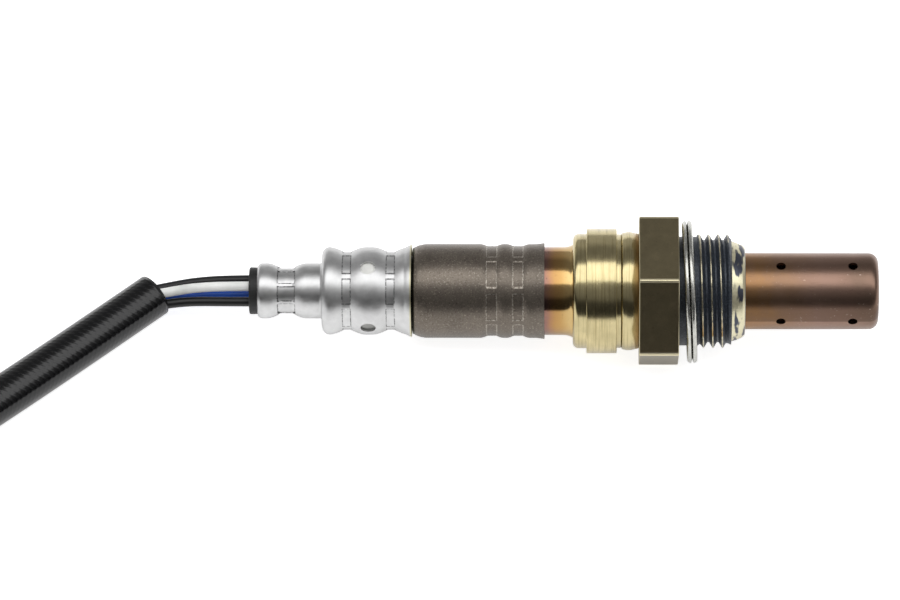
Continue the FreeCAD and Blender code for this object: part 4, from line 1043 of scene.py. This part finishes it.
class SENSOR_OT_housing(bpy.types.Operator):
    """Nose and thread, hexagon, and rolled collar of the steel housing"""
    bl_idname = "sensor.housing"
    bl_label = "Housing"

    def execute(self, context):
        sizes = context.scene.sensor_sizes
        colours = context.scene.sensor_colours
        self.thread(sizes, colours)
        self.nose(sizes, colours)
        self.hexagon(sizes, colours)
        self.collar(sizes, colours)
        return {"FINISHED"}

    def finish(self, piece, material):
        dressed(piece, material, "zinc_plated_steel", "housing")

    def thread(self, sizes, colours):
        crest = sizes.thread_diameter * 500
        depth = sizes.thread_depth * 1000
        pitch = sizes.thread_pitch * 1000
        neck = sizes.neck_diameter * 500
        front = thread_end
        rear = thread_end - sizes.thread_length * 1000

        def ridge(x, radius, angle):
            if radius < crest - 0.05 or not rear <= x <= front:
                return radius
            turn = (x / pitch - angle / (2 * math.pi) + 0.46) % 1.0
            wave = abs(turn - 0.5) * 2
            level = min(max((wave - 0.08) / 0.72, 0.0), 1.0)
            fade = min((front - x) / 0.9, (x - rear) / 0.9, 1.0)
            return crest - depth * level * (0.35 + 0.65 * fade) - 0.5 * max(0.0, 1 - (front - x) / 0.6)

        profile = [(-0.3, neck - 1.5), (-0.3, neck), (rear, neck), (rear, crest)]
        profile = profile + divided([(rear, crest), (front, crest)], 0.075)[1:] + [(front, 7.0)]
        piece = turned_piece("housing_thread", profile, 288, ridge, sharp_deg=50)
        self.finish(piece, pasted_thread(colours))

    def nose(self, sizes, colours):
        profile = rounded([(thread_end - 0.6, 7.0), (thread_end - 0.1, 8.0, 0.1), (9.2, 7.66, 1.5),
                           (10.0, 7.3, 0.6),
                           (nose_end, 6.9, 0.25), (nose_end, 6.05), (nose_end - 0.7, 6.04)], 8)

        def hand_worked(x, radius, angle):
            ripple = noise.noise(Vector((x * 0.6, math.cos(angle) * 2.2, math.sin(angle) * 2.2)))
            return radius + 0.08 * ripple if radius > 6.6 else radius

        piece = turned_piece("housing_nose", divided(profile, 0.25), 192, hand_worked, sharp_deg=60)
        self.finish(piece, smeared_nose(colours))

    def hexagon(self, sizes, colours):
        flat = sizes.across_flats * 500
        corner = flat / math.cos(math.pi / 6)
        rounding = sizes.hexagon_rounding * 1000
        round_centre = corner - rounding / math.cos(math.pi / 6)

        def prism(x, radius, angle):
            if radius < 9.5:
                return radius
            turn = (math.degrees(angle) + 30) % 60 - 30
            straight = flat / math.cos(math.radians(30 - abs(turn)))
            across = round_centre * math.sin(math.radians(abs(turn)))
            ahead = round_centre * math.cos(math.radians(abs(turn)))
            arc = ahead + math.sqrt(rounding ** 2 - across ** 2) if across < rounding else 99.0
            return min(straight, arc) - (flat - radius)

        edge = 0.12
        profile = [(0, 8.0), (0, flat - edge), (-edge, flat), (hexagon_rear + edge, flat),
                   (hexagon_rear, flat - edge), (hexagon_rear, 8.0)]
        piece = turned_piece("housing_hexagon", divided(profile, 0.8), 720, prism, sharp_deg=25)
        self.finish(piece, dull_zinc(colours))

    def collar(self, sizes, colours):
        bulge = sizes.bulge_diameter * 500
        collar = sizes.collar_diameter * 500
        profile = rounded([
            (hexagon_rear + 0.2, 8.85), (hexagon_rear, 8.85), (hexagon_rear, bulge - 0.25, 0.3),
            (-7.8, bulge + 0.12, 2.5),
            (bulge_rear, bulge - 0.12, 0.5), (bulge_rear, 9.0), (groove_rear, 9.0),
            (groove_rear, collar, 0.15),
            (collar_rear, collar, 0.15), (collar_rear, 9.05), (lip_rear, 9.05, 0.9), (lip_rear, 7.4),
            (lip_rear + 0.8, 7.4)], 8)
        piece = turned_piece("housing_collar", divided(profile, 0.4), 256, sharp_deg=40)
        self.finish(piece, passivated_zinc(colours))


class SENSOR_OT_gasket(bpy.types.Operator):
    """Folded sheet gasket that hangs on the neck"""
    bl_idname = "sensor.gasket"
    bl_label = "Gasket"

    def execute(self, context):
        sizes = context.scene.sensor_sizes
        half = sizes.gasket_thickness * 500
        outer = sizes.gasket_diameter * 500
        inner = sizes.gasket_hole * 500
        lean = math.radians(2.4)
        drop = inner - sizes.neck_diameter * 500 - 0.05 - half * math.sin(lean)
        profile = rounded([(0, inner), (half, inner, 0.4), (half, outer, 0.5), (0.16, outer, 0.1),
                           (0, outer - 0.7),
                           (-0.16, outer, 0.1), (-half, outer, 0.5), (-half, inner, 0.4), (0, inner)])

        def waved(x, radius, angle):
            wave = noise.noise(Vector((math.cos(angle) * 2.0, math.sin(angle) * 2.0, 3.0)))
            return radius + 0.05 * wave if radius > outer - 0.9 else radius

        piece = turned_piece("gasket_sheet", divided(profile[:-1], 0.3), 192, waved, looped=True)
        sideways = math.radians(45)
        leaning = Matrix.Rotation(lean, 4, Vector((0, -math.sin(sideways), math.cos(sideways))))
        place = Matrix.Translation((1.75, 0, -drop)) @ leaning
        piece.data.transform(to_world @ place @ to_world.inverted())
        dressed(piece, folded_stainless(context.scene.sensor_colours), "gasket_steel", "gasket_ring")
        return {"FINISHED"}


class SENSOR_OT_probe(bpy.types.Operator):
    """Outer protection cover with its gas holes"""
    bl_idname = "sensor.probe"
    bl_label = "Probe cover"

    def execute(self, context):
        sizes = context.scene.sensor_sizes
        radius = sizes.cover_diameter * 500
        tip = nose_end + sizes.cover_length * 1000
        wall = 0.5
        outside = rounded([(cover_flange_front - 0.5, 6.8), (cover_flange_front, 6.8),
                           (cover_flange_front, radius),
                           (tip - 0.25, radius, 1.5), (tip, 0)], 10)
        inside = rounded([(tip - wall, 0), (tip - wall - 0.25, radius - wall, 1.0),
                          (cover_flange_front - 0.5, radius - wall), (cover_flange_front - 0.5, 6.8)], 8)
        piece = turned_piece("probe_cover", outside + inside[:-1], 192, looped=True)
        drills = [drill(station, sizes.gas_hole * 1000, angle, 8.0)
                  for station in (16.06, 27.35) for angle in (-2, 86.5, 180, 271)]
        drilled(piece, drills)
        dressed(piece, tinted_probe(context.scene.sensor_colours), "probe_steel", "outer_protection_cover")
        return {"FINISHED"}


class SENSOR_OT_tube(bpy.types.Operator):
    """Heat-tinted inner tube between the collar and the outer cover"""
    bl_idname = "sensor.tube"
    bl_label = "Inner tube"

    def execute(self, context):
        sizes = context.scene.sensor_sizes
        radius = sizes.tube_diameter * 500
        profile = [(lip_rear + 0.5, radius + 0.4), (lip_rear, radius + 0.4), (lip_rear - 0.25, radius + 0.26),
                   (lip_rear - 0.6, radius + 0.13), (lip_rear - 1.1, radius + 0.03), (lip_rear - 1.5, radius),
                   (tube_stop, radius), (tube_stop, radius - 0.5), (lip_rear + 0.5, radius - 0.5)]
        jaws = pressed_by_jaws(shell_rings, 0.5)

        def shape(x, reach, angle):
            return jaws(x, reach, angle) if reach > radius - 0.1 else jaws(x, reach + 0.5, angle) - 0.5

        piece = turned_piece("tinted_tube", divided(profile, 0.4), 128, shape, 37.4, looped=True)
        dressed(piece, tinted_tube(context.scene.sensor_colours), "tinted_tube_steel", "inner_tube")
        return {"FINISHED"}


class SENSOR_OT_outer_cover(bpy.types.Operator):
    """Browned outer cover with two crimped rings"""
    bl_idname = "sensor.outer_cover"
    bl_label = "Outer cover"

    def execute(self, context):
        sizes = context.scene.sensor_sizes
        radius = sizes.shell_diameter * 500
        jaws = pressed_by_jaws(shell_rings)
        cap_jaws = pressed_by_jaws(cap_rings, 0.9)

        def shape(x, reach, angle):
            if reach > 6:
                return jaws(x, reach, angle)
            return cap_jaws(x, reach, angle)

        profile = rounded([(shell_stop, 5.1), (shell_stop, 5.5), (shell_shoulder, 5.5),
                           (shell_shoulder, radius - 0.66, 0.12),
                           (shell_shoulder + 0.85, radius - 0.24, 1.2), (shell_shoulder + 1.9, radius, 2.0),
                           (shell_front - 1.3, radius), (shell_front, radius + 0.16),
                           (shell_front, radius - 0.2),
                           (shell_front - 1.3, radius - 0.4)], 10)
        profile = with_ring_edges(divided(profile, 0.14), shell_rings)
        piece = turned_piece("browned_cover", profile, 288, shape, 37.4, sharp_deg=34)
        dressed(piece, browned_cover(context.scene.sensor_colours), "dark_cover_steel", "outer_cover")
        return {"FINISHED"}


class SENSOR_OT_cap(bpy.types.Operator):
    """Bright cap with two crimped rings, vents and a crimped tail"""
    bl_idname = "sensor.cap"
    bl_label = "Cap"

    def execute(self, context):
        sizes = context.scene.sensor_sizes
        radius = sizes.cap_diameter * 500
        tail = sizes.cap_tail_diameter * 500
        wall = 0.4
        body_jaws = pressed_by_jaws(cap_rings)
        tail_jaws = pressed_by_jaws(tail_ring)

        def shape(x, reach, angle):
            if x < cap_shoulder - 0.2:
                return tail_jaws(x, reach, angle)
            return body_jaws(x, reach, angle)

        outside = rounded([(cap_rear, 3.7), (cap_rear, tail, 0.7), (cap_shoulder, tail, 0.35),
                           (cap_shoulder, radius, 1.2),
                           (cap_front - 1.1, radius), (cap_front, radius + 0.36),
                           (cap_front, radius - 0.1)], 10)
        outside = with_ring_edges(with_ring_edges(divided(outside, 0.14), cap_rings), tail_ring)
        inside = divided([(cap_front - 1.6, radius - wall), (cap_shoulder + wall, radius - wall),
                          (cap_shoulder + wall, tail - wall), (cap_rear + wall, tail - wall),
                          (cap_rear + wall, 3.7)], 0.4)

        def both(x, reach, angle):
            full = radius if x > cap_shoulder - 0.2 else tail
            sunk = wall if reach < full - wall / 2 else 0.0
            return shape(x, reach + sunk, angle) - sunk

        piece = turned_piece("bright_cap", outside + inside, 288, both, 59.4, sharp_deg=38, looped=True)
        drills = [drill(vents, sizes.vent * 1000, 5.6 + 90 * index, 9.0) for index in range(4)]
        drilled(piece, drills, 38)
        dressed(piece, satin_stainless(context.scene.sensor_colours), "cap_steel", "rear_cap")
        self.filter(radius - wall - 0.1)
        self.grommet(context.scene.sensor_colours, tail - wall)
        return {"FINISHED"}

    def filter(self, radius):
        profile = [(-54.1, radius), (-43.2, radius), (-43.2, radius - 0.7), (-54.1, radius - 0.7)]
        jaws = pressed_by_jaws(cap_rings, 0.5)
        piece = turned_piece("vent_membrane", divided(profile, 0.3), 128, jaws, looped=True)
        material = moulded("expanded_ptfe", "#E6E6E2", 0.7, 5.0, 0.02, ior=1.35)
        dressed(piece, material, "filter_ptfe", "vent_filter")

    def grommet(self, colours, radius):
        profile = rounded([(grommet_rear, 0), (grommet_rear, 3.74, 0.25), (cap_rear + 0.3, 3.68),
                           (cap_rear + 0.3, radius - 0.1, 0.4), (cap_shoulder + 0.5, radius - 0.1),
                           (cap_shoulder + 0.5, 5.0), (-54.7, 5.0), (-54.7, 0)])
        jaws = pressed_by_jaws(tail_ring, 0.5)
        piece = turned_piece("rubber_grommet", divided(profile, 0.3), 128, jaws)
        material = moulded("grommet_rubber", colours.rubber, 0.55, 3.0, 0.02)
        dressed(piece, material, "grommet_rubber", "grommet")


class SENSOR_OT_inner_parts(bpy.types.Operator):
    """Finishes of the sealed inner pieces"""
    bl_idname = "sensor.inner_parts"
    bl_label = "Inner parts"

    def execute(self, context):
        colours = context.scene.sensor_colours
        # The ceramics are pressed and sintered, the talc is pressed powder, the metals are stamped strip
        zirconia = moulded("sintered_zirconia", "#DDD8CC", 0.4, 5.0, 0.01, ior=2.1)
        alumina = moulded("sintered_alumina", "#E9E5DC", 0.45, 5.0, 0.01, ior=1.77)
        steel = moulded("stamped_steel", "#9A9A98", 0.35, 3.0, 0.01, metallic=1.0)
        talc = moulded("pressed_talc", "#CFCBC2", 0.8, 6.0, 0.03, ior=1.54)
        nickel = moulded("nickel_alloy_strip", "#ABA69C", 0.3, 3.0, 0.008, metallic=1.0)
        probe = tinted_probe(colours)
        finishes = {
            "sensing_element": zirconia, "heater_rod": alumina, "ceramic_bush": alumina,
            "terminal_insulator": alumina, "element_washer": steel, "backing_ring": steel,
            "talc_packing": talc,
            "heater_contact_rear": nickel, "heater_contact_front": nickel, "ground_contact": nickel,
            "signal_contact": nickel, "inner_protection_cover": probe,
        }
        for name, material in finishes.items():
            give(frame["nodes"][name], material)
        return {"FINISHED"}


class SENSOR_PT_panel(bpy.types.Panel):
    """Lists the builders of the oxygen sensor"""
    bl_idname = "SENSOR_PT_panel"
    bl_label = "Oxygen sensor"
    bl_space_type = "VIEW_3D"
    bl_region_type = "UI"
    bl_category = "Sensor"

    def draw(self, context):
        for operator in builders:
            self.layout.operator(operator.bl_idname)
        for group in (context.scene.sensor_sizes, context.scene.harness_sizes, context.scene.sensor_colours):
            box = self.layout.box()
            for name in group.__annotations__:
                box.prop(group, name)


builders = (SENSOR_OT_stage, SENSOR_OT_sleeve, SENSOR_OT_leads, SENSOR_OT_plug, SENSOR_OT_housing,
            SENSOR_OT_gasket, SENSOR_OT_probe, SENSOR_OT_tube, SENSOR_OT_outer_cover, SENSOR_OT_cap,
            SENSOR_OT_inner_parts)
groups = (SensorSizes, HarnessSizes, SensorColours)


def register():
    for item in groups + builders + (SENSOR_PT_panel,):
        bpy.utils.register_class(item)
    bpy.types.Scene.sensor_sizes = bpy.props.PointerProperty(type=SensorSizes)
    bpy.types.Scene.harness_sizes = bpy.props.PointerProperty(type=HarnessSizes)
    bpy.types.Scene.sensor_colours = bpy.props.PointerProperty(type=SensorColours)


def unregister():
    del bpy.types.Scene.sensor_sizes
    del bpy.types.Scene.harness_sizes
    del bpy.types.Scene.sensor_colours
    for item in reversed(groups + builders + (SENSOR_PT_panel,)):
        bpy.utils.unregister_class(item)


def main():
    register()
    bpy.ops.sensor.stage()
    bpy.ops.sensor.sleeve()
    bpy.ops.sensor.leads()
    bpy.ops.sensor.plug()
    bpy.ops.sensor.housing()
    bpy.ops.sensor.gasket()
    bpy.ops.sensor.probe()
    bpy.ops.sensor.tube()
    bpy.ops.sensor.outer_cover()
    bpy.ops.sensor.cap()
    bpy.ops.sensor.inner_parts()


if __name__ == "__main__":
    main()
